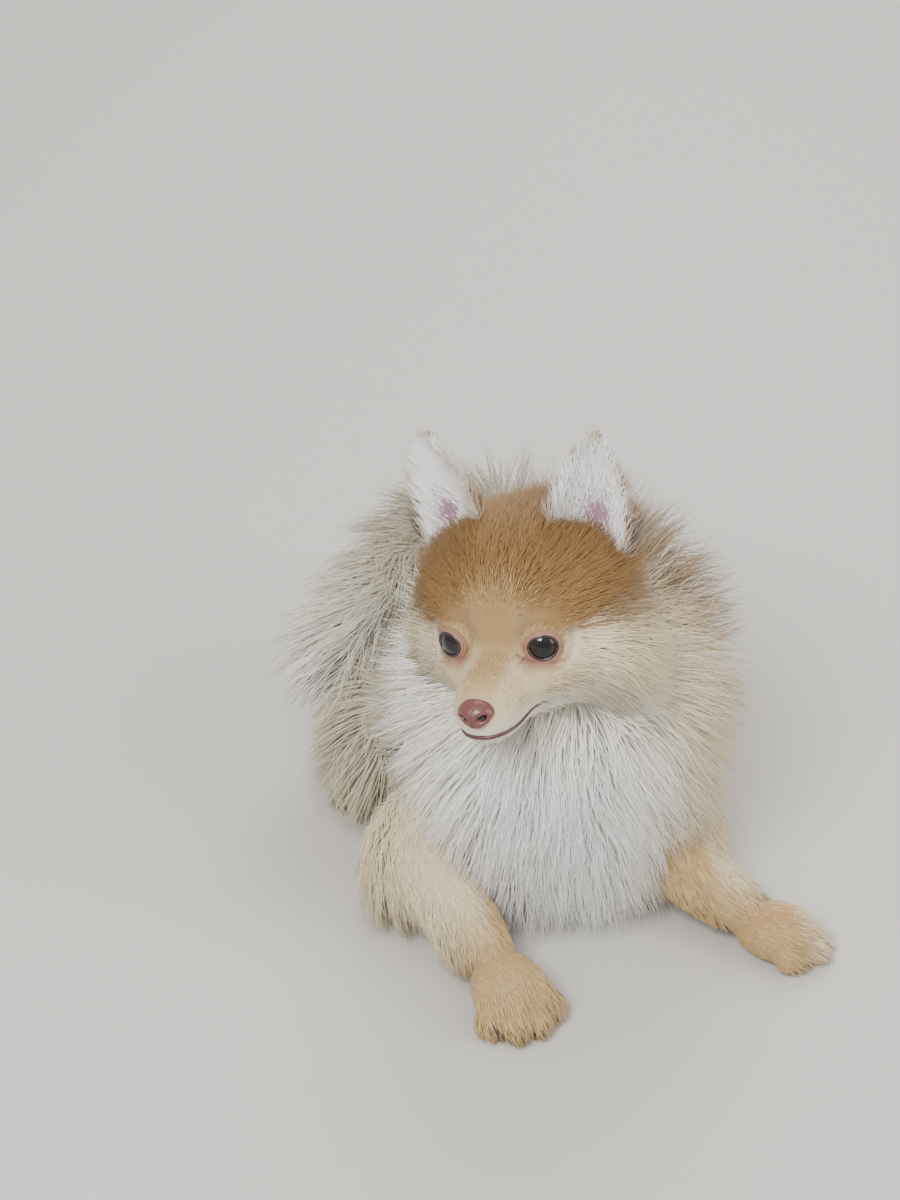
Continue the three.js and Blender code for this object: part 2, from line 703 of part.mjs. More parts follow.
// Each part is cut clear of those set before it: the head first, then the legs, the neck, the tail and
// the torso.
const set = [headCutter, ...earCutters];
for (const { name, form, paw } of legForms) {
  const leg = cut(form.solidOf(10, 12), [pawSolid(paw, PAW_CLEARANCE), floorSlab]);
  dog.add(meshOf(paw.name, pawBody(paw), tanCoat));
  dog.add(meshOf(name, leg, tanCoat));
  set.push(form.solidOf(10, 12, GAP), ...pawCutters(paw));
}
[RIGHT, LEFT].forEach((side, i) => {
  const paw = {
    heel: mirrored(HIND_PAW.heel, side),
    toe: mirrored(HIND_PAW.toe, side),
    width: HIND_PAW.width,
  };
  const word = side === LEFT ? "left" : "right";
  const thigh = cut(dressed(thighCores[i], thighLocks[i]), [...pawCutters(paw), ...set, floorSlab]);
  dog.add(meshOf(`hindpaw_${word}`, pawBody(paw), tanCoat));
  dog.add(meshOf(`hindleg_${word}`, thigh, creamCoat));
  set.push(...pawCutters(paw), clearanceOf(thighCores[i], thighLocks[i]));
});
const neckBody = cut(dressed(neckCore, neckLocks), [...set, floorSlab]);
dog.add(meshOf("neck", neckBody, whiteCoat));
set.push(clearanceOf(neckCore, neckLocks));
dog.add(meshOf("tail", cut(dressed(tailCore, tailLocks), set), creamCoat));
set.push(clearanceOf(tailCore, tailLocks));
dog.add(meshOf("torso", cut(dressed(torsoCore, torsoLocks), [...set, floorSlab]), creamCoat));

// The origin lies under the middle of the dog, on the floor.
dog.updateMatrixWorld(true);
const extent = new THREE.Box3().setFromObject(dog, true);
const middle = extent.getCenter(new THREE.Vector3());
dog.position.set(-middle.x, -middle.y, -extent.min.z);

export default dog;
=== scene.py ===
"""A life-size Pomeranian puppy lying on its chest: one skin, a long coat, eyes, nose, lips and claws.

Shapes are worked out in millimetres in the dog's own frame, +Z up, the trunk facing -Y, its left side at +X.
"""

import bpy
import numpy as np
from mathutils import Euler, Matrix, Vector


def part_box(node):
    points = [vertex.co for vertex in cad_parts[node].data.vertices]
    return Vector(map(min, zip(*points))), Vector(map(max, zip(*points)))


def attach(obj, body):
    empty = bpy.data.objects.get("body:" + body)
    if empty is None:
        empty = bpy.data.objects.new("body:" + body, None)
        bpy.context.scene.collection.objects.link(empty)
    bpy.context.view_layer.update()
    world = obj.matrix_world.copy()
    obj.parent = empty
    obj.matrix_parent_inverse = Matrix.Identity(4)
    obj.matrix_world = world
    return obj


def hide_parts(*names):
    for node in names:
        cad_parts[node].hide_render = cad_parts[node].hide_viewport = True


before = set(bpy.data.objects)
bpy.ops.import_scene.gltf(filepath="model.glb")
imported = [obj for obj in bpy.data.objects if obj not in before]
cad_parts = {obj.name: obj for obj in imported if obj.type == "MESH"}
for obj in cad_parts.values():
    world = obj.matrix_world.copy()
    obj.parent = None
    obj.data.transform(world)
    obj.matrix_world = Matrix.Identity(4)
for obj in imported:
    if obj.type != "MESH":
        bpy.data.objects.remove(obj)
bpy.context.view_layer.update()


# Skin
# One closed skin runs from the nose to the tail. It lies inside the solids by the depth of the coat, and it
# is coloured as the undercoat, because that is what shows between the hairs, darkened as painted shade.

COAT_SEED = 20731
random = np.random.default_rng(COAT_SEED)
SIDES = {"right": -1, "left": 1}

HEAD_PLACE = np.array([-17.0, -34.0, 143.0])
HEAD_YAW, HEAD_PITCH, HEAD_TILT = -36.5, -2.0, -12.0
EYE_CENTRE = np.array([17.0, -22.6, -3.3])
EYE_RADIUS = 7.5
GAZE = np.array([0.4, -0.915, 0.05])
NOSE_CENTRE = np.array([0, -54, -16.8])


def turn(x, y, z):
    """Matrix Rz(z) @ Rx(x) @ Ry(y) for three angles in degrees."""
    cx, cy, cz = np.cos(np.radians([x, y, z]))
    sx, sy, sz = np.sin(np.radians([x, y, z]))
    about_x = np.array([[1, 0, 0], [0, cx, -sx], [0, sx, cx]])
    about_y = np.array([[cy, 0, sy], [0, 1, 0], [-sy, 0, cy]])
    about_z = np.array([[cz, -sz, 0], [sz, cz, 0], [0, 0, 1]])
    return about_z @ about_x @ about_y


HEAD_TURN = turn(HEAD_PITCH, HEAD_TILT, HEAD_YAW)


def unit(v):
    """v / |v| along the last axis."""
    return v / np.maximum(np.linalg.norm(v, axis=-1, keepdims=True), 1e-9)


def smoothstep(x, low, high):
    """3k² - 2k³ with k = (x - low) / (high - low), held between 0 and 1."""
    k = np.clip((x - low) / (high - low), 0, 1)
    return k * k * (3 - 2 * k)


def from_head(h):
    """Head frame to dog frame: p = place + turn h."""
    return HEAD_PLACE + np.asarray(h) @ HEAD_TURN.T


def to_head(p):
    """Dog frame to head frame: h = turn⁻¹ (p - place)."""
    return (p - HEAD_PLACE) @ HEAD_TURN


def through(values, t):
    """Catmull-Rom line through the rows of values: p = ½(2b + (c-a)u + (2a-5b+4c-d)u² + (3b-a-3c+d)u³)."""
    v = np.asarray(values, float)
    v = np.concatenate([2 * v[:1] - v[1:2], v, 2 * v[-1:] - v[-2:-1]])
    place = np.clip(t, 0, 1) * (len(values) - 1)
    i = np.minimum(place.astype(int), len(values) - 2)
    u = (place - i).reshape(-1, *[1] * (v.ndim - 1))
    a, b, c, d = v[i], v[i + 1], v[i + 2], v[i + 3]
    return 0.5 * (2 * b + (c - a) * u + (2 * a - 5 * b + 4 * c - d) * u**2 + (3 * b - a - 3 * c + d) * u**3)


def both_sides(path, side):
    """The path with x times side."""
    return np.array(path, float) * [side, 1, 1]


# Long forms: a path, half sizes across it and square to that, how blunt the ends are, and what is level
FORMS = {
    "neck": {
        "path": [[3, -38, 6], [4, -37, 42], [5, -24, 82], [4, -4, 112], [4, 12, 138]],
        "wide": [28, 40, 44, 41, 28],
        "high": [10, 17, 28, 29, 18],
        "level": [0, 1, 0],
    },
    "torso": {
        "path": [[2, -34, 50], [0, 0, 52], [0, 50, 52], [2, 98, 50]],
        "wide": [32, 43, 46, 36],
        "high": [32, 40, 41, 32],
    },
    "tail": {
        "path": [[6, 84, 66], [11, 102, 91], [-12, 100, 99], [-46, 82, 80], [-64, 67, 61]],
        "wide": [8, 7, 6, 5, 4],
        "high": [8, 7, 6, 5, 4],
    },
    "foreleg_right": {
        "path": [[-40, -14, 52], [-58, -32, 28], [-50, -60, 21], [-38, -100, 12]],
        "wide": [15, 16, 13, 13],
        "high": [18, 17, 13, 10.5],
    },
    "foreleg_left": {
        "path": [[36, -14, 52], [44, -38, 29], [49, -66, 21], [72, -95, 11]],
        "wide": [15, 15, 12.5, 12.5],
        "high": [18, 16, 12.5, 10],
    },
}
THIGH_PATH = [[34, 84, 58], [49, 66, 45], [56, 44, 32], [57, 26, 22]]
for word, side in SIDES.items():
    FORMS[f"hindleg_{word}"] = {
        "path": both_sides(THIGH_PATH, side),
        "wide": [12, 15, 13, 10],
        "high": [17, 23, 20, 12],
    }
PAWS = {
    "forepaw_right": {"heel": [-41, -84, 12], "toe": [-35, -124, 8], "width": 15.5},
    "forepaw_left": {"heel": [60, -86, 11], "toe": [92, -103, 7], "width": 14.5},
    "hindpaw_right": {"heel": [-60, 70, 11], "toe": [-66, 30, 7], "width": 13},
    "hindpaw_left": {"heel": [60, 70, 11], "toe": [66, 30, 7], "width": 13},
}
for name, paw in PAWS.items():
    heel, toe = np.array(paw["heel"], float), np.array(paw["toe"], float)
    FORMS[name] = {
        "path": [heel, heel + 0.55 * (toe - heel), heel + 0.86 * (toe - heel)],
        "wide": [paw["width"] * 0.78, paw["width"], paw["width"] * 0.9],
        "high": [paw["width"] * 0.7, paw["width"] * 0.66, paw["width"] * 0.52],
    }


BLUNTNESS = 2.8


def sections(form, t):
    """Centre, axes and half sizes along a form; both ends close as √(1 - |2t - 1|^bluntness)."""
    step = 1e-3
    centre = through(form["path"], t)
    ahead = through(form["path"], np.minimum(t + step, 1))
    behind = through(form["path"], np.maximum(t - step, 0))
    along = unit(ahead - behind)
    across = unit(np.cross(along, form.get("level", [0, 0, 1])))
    up = np.cross(across, along)
    close = np.sqrt(np.maximum(1 - np.abs(2 * t - 1) ** BLUNTNESS, 0))
    wide = through(form["wide"], t) * close
    high = through(form["high"], t) * close
    return centre, along, across, up, wide, high


def crowded(rows):
    """Places from 0 to 1 that lie closer together near both ends: (1 - cos πk) / 2."""
    return (1 - np.cos(np.pi * np.linspace(0, 1, rows))) / 2


def angles(sides):
    """Even angles once round, the last one short of the first."""
    return np.linspace(0, 2 * np.pi, sides, endpoint=False)


def lofted(form, rows=26, sides=28):
    """Rings centre + across·wide·cos a + up·high·sin a, closer together near both ends."""
    near_end = 0.003
    centre, _, across, up, wide, high = sections(form, np.clip(crowded(rows), near_end, 1 - near_end))
    a = angles(sides)[None, :, None]
    return (
        centre[:, None]
        + across[:, None] * wide[:, None, None] * np.cos(a)
        + up[:, None] * high[:, None, None] * np.sin(a)
    )


# The head's masses, melted into each other: centre, then half sizes, mirrored where off the middle
HEAD_MASSES = {
    "skull": [0, 10, 6, 29, 31, 26],
    "forehead": [0, -12, 9, 20, 13, 13],
    "cheek": [20, -3, -12, 16, 19, 16],
    "temple": [20, 1, 3, 15, 18, 12],
    "cheekbone": [15.5, -20, -14, 9, 11, 8],
    "muzzle": [0, -33, -16, 10, 20, 8.4],
    "upper_lip": [4.8, -42.8, -20.8, 6, 9, 5.4],
    "chin": [0, -37.5, -28.6, 6.8, 14.3, 4.2],
    "throat": [0, 6, -20, 19, 21, 12],
    "jaw": [8, -17, -22, 9, 13, 7],
}
MELT = 4.0
MUZZLE_START = np.array([0.0, -30, -15])
MUZZLE_AXIS_DROP = 17


def head_field(h):
    """About how far h lies outside the head: -m ln Σ exp(-k(k-1)/|∇k|/m), k scaled to each mass."""
    total = 0
    for x, y, z, a, b, c in HEAD_MASSES.values():
        for across in {x, -x}:
            half = np.array([a, b, c])
            u = (h - [across, y, z]) / half
            k = np.linalg.norm(u, axis=-1)
            slope = np.linalg.norm(u / half, axis=-1)
            total = total + np.exp(-k * (k - 1) / np.maximum(slope, 1e-6) / MELT)
    return -MELT * np.log(np.maximum(total, 1e-30))


def reach(start, direction, far=80.0):
    """The distance along each ray at which the head's surface is met, by halving."""
    low = np.zeros(start.shape[:-1])
    high = low + far
    for _ in range(24):
        middle = (low + high) / 2
        inside = head_field(start + direction * middle[..., None]) < 0
        low = np.where(inside, middle, low)
        high = np.where(inside, high, middle)
    return low


def head_rings(rows=64, sides=60):
    """Rings about an axis that drops from skull to muzzle, each point where its ray meets the skin."""
    near_end = 0.001
    back = reach(np.zeros(3), np.array([0.0, 1, 0]))
    front = reach(MUZZLE_START, np.array([0.0, -1, 0])) - MUZZLE_START[1]
    y = back + (-front - back) * np.clip(crowded(rows), near_end, 1 - near_end)
    a = angles(sides)
    drop = -MUZZLE_AXIS_DROP * smoothstep(-y, 6, 46)
    axis = np.stack([0 * y, y, drop], -1)[:, None] + np.zeros((rows, sides, 3))
    out = np.zeros((rows, sides, 3)) + np.stack([np.sin(a), 0 * a, np.cos(a)], -1)
    return from_head(axis + out * reach(axis, out)[..., None])


EAR_ROOT = np.array([26.0, 9, 18])
EAR_HEIGHT, EAR_HALF_WIDTH, EAR_CUP = 46.0, 17.0, 8.0
EAR_LEAN_OUT, EAR_LEAN_BACK, EAR_TURN_OUT = 12, 6, 15


def ear_turn(side):
    """Matrix from the ear's own frame to the head's: turned outwards, leaned back, then leaned out."""
    return turn(0, EAR_LEAN_OUT * side, 0) @ turn(-EAR_LEAN_BACK, 0, 0) @ turn(0, 0, EAR_TURN_OUT * side)


EAR_TURNS = {side: ear_turn(side) for side in SIDES.values()}


def ear_half_width(up):
    """W(1 - u²·¹)^0.62 (0.9 + 0.35u(1 - u)), u from the ear's root to its tip."""
    return EAR_HALF_WIDTH * (1 - up**2.1) ** 0.62 * (0.9 + 0.35 * up * (1 - up))


def ear_sheet(up, v):
    """Depth of the cup's middle sheet: c(1 - 0.55u)(1 - v²), v from edge to edge."""
    return EAR_CUP * (1 - 0.55 * up) * (1 - v * v)


def ear_rings(side, rows=22, half_loop=16):
    """Closed loops round the cup's sheet, t/2 = (1.9 - 0.9u)√(1 - v⁶)/2 + 0.35 to each side of it."""
    u = np.linspace(-0.15, 0.995, rows)[:, None]
    v = np.concatenate([np.linspace(-1, 1, half_loop), np.linspace(1, -1, half_loop)])[None]
    face = np.repeat([-1.0, 1.0], half_loop)[None]
    up = np.clip(u, 0, 1)
    thick = (1.9 - 0.9 * up) * np.sqrt(np.maximum(1 - v**6, 0)) / 2 + 0.35
    depth = ear_sheet(up, v) + face * thick
    leaf = np.stack([v * ear_half_width(up), depth, u * EAR_HEIGHT + 0 * v], -1)
    return from_head(leaf @ EAR_TURNS[side].T + EAR_ROOT * [side, 1, 1])


TOE_RADIUS, TOE_RADIUS_AT_WIDTH = 6.0, 15.5
TOE_SPREAD, OUTER_TOE_BACK = 1.85, 5.5


def heading_of(paw):
    """The paw's level direction from heel to toe."""
    return unit((np.array(paw["toe"], float) - paw["heel"]) * [1, 1, 0])


def toes_of(paw):
    """Centres of the four toes, the outer ones drawn back, the paw's heading, and the toes' radius."""
    along = heading_of(paw)
    across = np.array([-along[1], along[0], 0])
    place = np.array([-1.5, -0.5, 0.5, 1.5])[:, None]
    radius = TOE_RADIUS * paw["width"] / TOE_RADIUS_AT_WIDTH
    drawn_back = np.where(np.abs(place) > 1, OUTER_TOE_BACK, 0)
    centres = paw["toe"] + across * place * paw["width"] / TOE_SPREAD - along * (drawn_back + radius + 1)
    centres[:, 2] = radius * 0.95
    return centres, along, radius


POLE = 0.02


def ball_rings(centre, radius, rows=12, sides=14):
    """A sphere as rings: centre + r(sin b cos a, sin b sin a, cos b)."""
    b = np.linspace(POLE, np.pi - POLE, rows)[:, None]
    a = angles(sides)[None]
    return centre + radius * np.stack([np.sin(b) * np.cos(a), np.sin(b) * np.sin(a), np.cos(b) + 0 * a], -1)


def ring_faces(grid):
    """Quads between neighbouring rings and a face over each end, turned round if the volume is negative."""
    rows, sides = grid.shape[:2]
    i, j = np.meshgrid(np.arange(rows - 1), np.arange(sides), indexing="ij")
    k = (j + 1) % sides
    near, far = i * sides, (i + 1) * sides
    quads = np.stack([near + j, near + k, far + k, far + j], -1).reshape(-1, 4)
    a, b, c, d = ((grid.reshape(-1, 3) - grid.mean((0, 1)))[quads[:, n]] for n in range(4))
    volume = (a * (np.cross(b, c) + np.cross(c, d))).sum()
    ends = [list(range(sides))[::-1], list(range((rows - 1) * sides, rows * sides))]
    faces = quads.tolist() + ends
    return faces if volume > 0 else [face[::-1] for face in faces]


# The solids stand with the middle of their box over the origin; the left eye says by how much they moved.
eye_low, eye_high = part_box("eye_left")
SHIFT = np.array((eye_low + eye_high) / 2) * 1000 - from_head(EYE_CENTRE)


def metres(p):
    """Dog frame in millimetres to the row frame in metres."""
    return (np.asarray(p) + SHIFT) / 1000


def add_object(name, mesh, material):
    """A piece that rides on the dog's one body."""
    piece = bpy.data.objects.new(name, mesh)
    bpy.context.collection.objects.link(piece)
    mesh.materials.append(material)
    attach(piece, "root")
    return piece


def mesh_of_rings(name, grids):
    """One mesh from several closed ring surfaces."""
    points, faces, count = [], [], 0
    for grid in grids:
        rows, sides = grid.shape[:2]
        points.append(grid.reshape(-1, 3))
        faces += [[k + count for k in face] for face in ring_faces(grid)]
        count += rows * sides
    mesh = bpy.data.meshes.new(name)
    mesh.from_pydata(metres(np.concatenate(points)), [], faces)
    mesh.validate()
    return mesh


skin_grids = [lofted(form) for form in FORMS.values()] + [head_rings()]
skin_grids += [ear_rings(side) for side in SIDES.values()]
for paw in PAWS.values():
    centres, _, radius = toes_of(paw)
    skin_grids += [ball_rings(centre, radius) for centre in centres]

rough = bpy.data.objects.new("rough", mesh_of_rings("rough", skin_grids))
bpy.context.collection.objects.link(rough)
remesh = rough.modifiers.new("one surface", "REMESH")
remesh.mode = "VOXEL"
remesh.voxel_size = 0.0013
soften = rough.modifiers.new("soften", "SMOOTH")
soften.factor = 0.5
soften.iterations = 3
skin_mesh = bpy.data.meshes.new_from_object(rough.evaluated_get(bpy.context.evaluated_depsgraph_get()))
bpy.data.objects.remove(rough)
skin_mesh.name = "skin"


def read(mesh):
    """Places in the dog frame and normals of a mesh's vertices."""
    place = np.empty(len(mesh.vertices) * 3)
    normal = np.empty(len(mesh.vertices) * 3)
    mesh.vertices.foreach_get("co", place)
    mesh.vertices.foreach_get("normal", normal)
    return place.reshape(-1, 3) * 1000 - SHIFT, normal.reshape(-1, 3)


def eye_axes(side):
    """Centre of an eye, and its forward, sideways and upward axes."""
    centre = from_head(EYE_CENTRE * [side, 1, 1])
    forward = unit(HEAD_TURN @ (GAZE * [side, 1, 1]))
    sideways = unit(np.cross(forward, HEAD_TURN @ [0, 0, 1]))
    return centre, forward, sideways, np.cross(sideways, forward)


OPENING_WIDE, OPENING_HIGH = 5.8, 5.1


def eye_ellipse(p, side):
    """Distance from an eye's centre, and 1 where the direction from it passes the edge of the opening."""
    centre, forward, sideways, up = eye_axes(side)
    d = p - centre
    r = np.linalg.norm(d, axis=-1)
    e = np.hypot(d @ sideways / OPENING_WIDE, d @ up / OPENING_HIGH) * EYE_RADIUS / np.maximum(r, 1e-6)
    return r, np.where(d @ forward > 0, e, 9.0)


MOUTH_CORNER_Y, MOUTH_FRONT_Z = -23.0, -27.0
MOUTH_RISE, MOUTH_RISE_FROM_Y = 1.6, -44
MOUTH_START_Y, LIP_SINK = -30.0, 0.2
MUZZLE_FAR = 40.0
chin_reach = reach(np.array([0, MOUTH_START_Y, MOUTH_FRONT_Z]), np.array([0, -1.0, 0]), MUZZLE_FAR)
MOUTH_FRONT_Y = MOUTH_START_Y + LIP_SINK - chin_reach


def mouth_line(out=0.0, steps=40):
    """The line between the lips, from the right corner round under the nose to the left one."""
    y = MOUTH_CORNER_Y + (MOUTH_FRONT_Y - MOUTH_CORNER_Y) * np.sin(np.linspace(0, np.pi / 2, steps))
    z = MOUTH_FRONT_Z + MOUTH_RISE * smoothstep(y, MOUTH_RISE_FROM_Y, MOUTH_CORNER_Y)
    start = np.stack([0 * y, y, z], -1)
    x = reach(start, np.zeros((steps, 3)) + [1, 0, 0], MUZZLE_FAR) + out
    half = np.stack([x, y, z], -1)
    return from_head(np.concatenate([half * [-1, 1, 1], half[::-1][1:]]))


# Round each eye the skin sinks to a socket behind the ball, rises to a lid at the edge of the opening, and
# slopes out from there to the face. Below the body it stops just over the floor.
SOCKET_RADIUS, LID_RISE, LID_SLOPE = 5.9, 2.4, 7
LID_FROM, LID_EDGE = 0.82, 1.02
EYE_ZONE = 13
SKIN_FLOOR = 0.8
skin_place, _ = read(skin_mesh)
for side in SIDES.values():
    centre = eye_axes(side)[0]
    r, e = eye_ellipse(skin_place, side)
    lid = SOCKET_RADIUS + LID_RISE * smoothstep(e, LID_FROM, LID_EDGE)
    slope = lid + 0.3 + LID_SLOPE * np.maximum(e - LID_EDGE, 0)
    wanted = np.where(e < LID_EDGE, lid, np.clip(r, lid, slope))
    near = r < EYE_ZONE
    skin_place[near] = centre + (skin_place[near] - centre) * (wanted / np.maximum(r, 1e-6))[near, None]
skin_place[:, 2] = np.maximum(skin_place[:, 2], SKIN_FLOOR)
skin_mesh.vertices.foreach_set("co", metres(skin_place).ravel())
skin_mesh.update()
skin_place, skin_normal = read(skin_mesh)


# Regions of the coat: how much of each body part a place belongs to
STATIONS = np.linspace(0.04, 0.96, 24)


def outside(form, p):
    """About how far p lies outside a long form: the least scaled distance to its sections, times its size."""
    centre, along, across, up, wide, high = sections(form, STATIONS)
    best = np.full(len(p), 1e9)
    for k in range(len(STATIONS)):
        d = p - centre[k]
        size = (wide[k] + high[k]) / 2
        aside, above, ahead = d @ across[k] / wide[k], d @ up[k] / high[k], d @ along[k] / size
        scaled = np.sqrt(aside**2 + above**2 + ahead**2)
        best = np.minimum(best, (scaled - 1) * size)
    return best


def in_ear(p, side):
    """Dog frame to the ear's own frame: x across the leaf, y its depth, z up it."""
    return (to_head(p) - EAR_ROOT * [side, 1, 1]) @ EAR_TURNS[side]


def outside_ear(p, side):
    """About how far p lies outside the ear's leaf."""
    q = in_ear(p, side)
    up = np.clip(q[:, 2] / EAR_HEIGHT, 0, 1)
    v = np.clip(q[:, 0] / EAR_HALF_WIDTH, -1, 1)
    over = np.maximum(q[:, 2] - EAR_HEIGHT, 0) + np.maximum(2 - q[:, 2], 0) * 1.5
    return np.abs(q[:, 1] - ear_sheet(up, v)) + over + np.maximum(np.abs(q[:, 0]) - EAR_HALF_WIDTH, 0) - 1.2


REGIONS = ["head", "ear_right", "ear_left", *FORMS]
KINDS = [region.split("_")[0] for region in REGIONS]
REGION_BLEND = 2.5


def region_shares(p):
    """Share of each region at p: exp(-distance / blend), scaled to add up to 1."""
    far = [head_field(to_head(p)), outside_ear(p, -1), outside_ear(p, 1)]
    far += [outside(form, p) for form in FORMS.values()]
    far = np.stack(far, -1)
    share = np.exp(-(far - far.min(-1, keepdims=True)) / REGION_BLEND)
    return share / share.sum(-1, keepdims=True)


def linear(red, green, blue):
    """A screen colour of 0 to 255 as linear light."""
    c = np.array([red, green, blue]) / 255
    return np.where(c < 0.04, c / 12.92, ((c + 0.055) / 1.055) ** 2.4)


ORANGE = linear(140, 105, 62)
GOLD = linear(172, 134, 84)
MASK_EDGE_SHADE = linear(104, 68, 38)
BROW_HIGHLIGHT = linear(196, 162, 112)
TAN = linear(180, 144, 92)
SAND = linear(204, 178, 130)
CREAM = linear(234, 220, 186)
WHITE = linear(248, 246, 242)
SHADED = linear(196, 186, 162)
GREYISH = linear(176, 162, 140)
SABLE = linear(98, 78, 58)
EAR_SKIN = linear(150, 116, 134)
LID_SKIN = linear(138, 88, 78)
STAIN = linear(104, 56, 38)


def ripple(p, size, seed=0.0):
    """Slow waves from -1 to 1: the mean of sines along three slanted directions."""
    a = np.sin(p @ [0.9, 0.3, 0.5] / size + seed) + np.sin(p @ [-0.4, 0.8, 0.6] / size * 1.37 + 2 + seed)
    return (a + np.sin(p @ [0.2, -0.6, 0.9] / size * 1.71 + 4 + seed)) / 3


def mix(a, b, k):
    """a + (b - a) k for colours."""
    return a + (b - a) * np.asarray(k)[..., None]


def ear_places(p, share):
    """How far p is inside an ear's cup, how near its edge, and how near the bare place low in the cup."""
    inside, edge, bare = np.zeros((3, len(p)))
    for word, side in SIDES.items():
        q = in_ear(p, side)
        up = np.clip(q[:, 2] / EAR_HEIGHT, 0, 0.97)
        v = np.clip(q[:, 0] / ear_half_width(up), -1, 1)
        own = share[:, REGIONS.index(f"ear_{word}")]
        depth = ear_sheet(up, q[:, 0] / EAR_HALF_WIDTH) - q[:, 1]
        inside += own * smoothstep(depth, 0.1, 0.7)
        edge += own * np.maximum(smoothstep(np.abs(v), 0.8, 1), smoothstep(q[:, 2] / EAR_HEIGHT, 0.88, 1))
        low = np.exp(-(((up - 0.3) / 0.2) ** 2) - ((v - 0.2 * side) / 0.45) ** 2)
        bare += own * low * smoothstep(depth, 0.1, 0.7)
    return inside, edge, bare


def markings(p, share):
    """Colours at the root and at the tip of the coat at p, from the breed's markings in this puppy, with
    painted shade along the mask's edge and a painted highlight on each brow.
    """
    h = to_head(p)
    x, y, z = np.abs(h[:, 0]), h[:, 1], h[:, 2]
    px, py, pz = p.T
    plain = np.ones((len(p), 1))
    edge = -4.6 + 0.36 * np.maximum(x - 18, 0) - 3.0 * smoothstep(12 - x, 0, 8) + 1.5 * ripple(h, 7.0)
    mask = smoothstep(z - edge, -3.5, 5.5) * smoothstep(y, -36, -22)
    bridge = smoothstep(9.5 - x, 0, 5) * smoothstep(z, -19, -11)
    bridge = bridge * smoothstep(-y, 18, 26) * smoothstep(y, -62, -44)
    rim = np.exp(-(((z - edge - 1.0) / 3.4) ** 2)) * smoothstep(y, -30, -14) * smoothstep(26 - y, 0, 16)
    face = mix(CREAM * plain, WHITE, 0.5 * smoothstep(-z, 16, 24))
    face = mix(face, SAND, 0.5 * smoothstep(0.4 + 0.5 * ripple(h, 11.0, 3.0), 0, 1) * smoothstep(y, -26, 0))
    face = mix(face, ORANGE, np.clip(mask, 0, 1))
    face = mix(face, SAND, 0.55 * smoothstep(-y, 20, 30) * smoothstep(z, -26, -18))
    face = mix(face, TAN, 0.7 * bridge)
    # A darker brown band along the mask's lower edge, at the sides of the head, is painted shade.
    face = mix(face, MASK_EDGE_SHADE, 0.62 * rim * smoothstep(x, 15, 24))
    for side in SIDES.values():
        r, _ = eye_ellipse(p, side)
        # A pale patch on the brow above each eye is a painted highlight.
        brow_highlight = np.linalg.norm((h - EYE_CENTRE * [side, 1, 1] - [-1.5 * side, 4, 10]) / [6.5, 6, 4], axis=-1)
        face = mix(face, BROW_HIGHLIGHT, 0.55 * np.exp(-(brow_highlight**2)))
        centre, forward, sideways, up = eye_axes(side)
        inner_corner = centre + 9.5 * unit(forward + 0.95 * side * sideways - 0.75 * up)
        outer_corner = centre + 9.2 * unit(forward - 0.5 * side * sideways - 0.9 * up)
        smudge = np.exp(-((np.linalg.norm(p - inner_corner, axis=-1) / 4.4) ** 2))
        smudge += 0.7 * np.exp(-((np.linalg.norm(p - outer_corner, axis=-1) / 3.4) ** 2))
        face = mix(face, TAN, 0.45 * np.exp(-(((r - 8.5) / 2.6) ** 2)))
        face = mix(face, STAIN, np.clip(0.85 * smudge, 0, 1))
    inside, ear_edge, _ = ear_places(p, share)
    ear = mix(mix(TAN * plain, ORANGE, 0.5), WHITE, inside * (1 - 0.85 * ear_edge))
    nape = smoothstep(pz + 0.3 * px, 98, 124) * smoothstep(py + 0.5 * px, -24, 4)
    bib = smoothstep(124 - pz, 0, 36) * smoothstep(-py, 4, 34) * np.exp(-(((px + 6) / 40) ** 2))
    bib = np.maximum(bib, 0.6 * smoothstep(-px, 12, 40))
    ruff = mix(CREAM * plain, WHITE, np.clip(0.15 + bib, 0, 1))
    patchy = 0.5 + 0.5 * ripple(p, 17.0, 5.0)
    ruff = mix(ruff, SAND, smoothstep(px, 0, 44) * (0.35 + 0.45 * patchy) * (1 - 0.8 * bib))
    ruff = mix(ruff, TAN, smoothstep(px + 0.4 * py, 14, 56) * (0.4 + 0.3 * patchy))
    ruff = mix(ruff, ORANGE, 0.8 * nape)
    back = mix(SHADED * plain, GREYISH, smoothstep(pz, 50, 90) * (0.6 + 0.4 * patchy))
    back = mix(back, TAN, 0.5 * smoothstep(px, 10, 50))
    tail = mix(SHADED * plain, WHITE, 0.45 * smoothstep(100 - pz, 0, 34))
    outer_side = smoothstep(np.abs(px - 6) - 42, 0, 12) * smoothstep(py, -96, -66)
    leg = mix(TAN * plain, SAND, 0.2 + 0.25 * ripple(p, 12.0))
    leg = mix(leg, CREAM, 0.8 * outer_side)
    leg = mix(leg, CREAM, 0.7 * smoothstep(px, 76, 92))
    colours = {"head": face, "ear": ear, "neck": ruff, "torso": back, "tail": tail, "hindleg": back}
    pale_tips = {"head": 0.3 * mask * smoothstep(24 - z, 0, 16), "foreleg": 0.15, "forepaw": 0.2}
    dark_tips = {
        "torso": 0.6 * smoothstep(pz, 58, 88),
        "tail": 0.6 * smoothstep(pz, 84, 106),
        "neck": 0.4 * nape + 0.12 * patchy * smoothstep(px, 0, 40),
        "head": 0.1 * mask,
    }
    root, tip = np.zeros((2, len(p), 3))
    for k, kind in enumerate(KINDS):
        colour = colours.get(kind, leg)
        bright = mix(colour, GOLD if kind == "head" else CREAM, pale_tips.get(kind, 0.0))
        root += colour * share[:, k : k + 1]
        tip += mix(bright, SABLE, dark_tips.get(kind, 0.0)) * share[:, k : k + 1]
    return root, tip


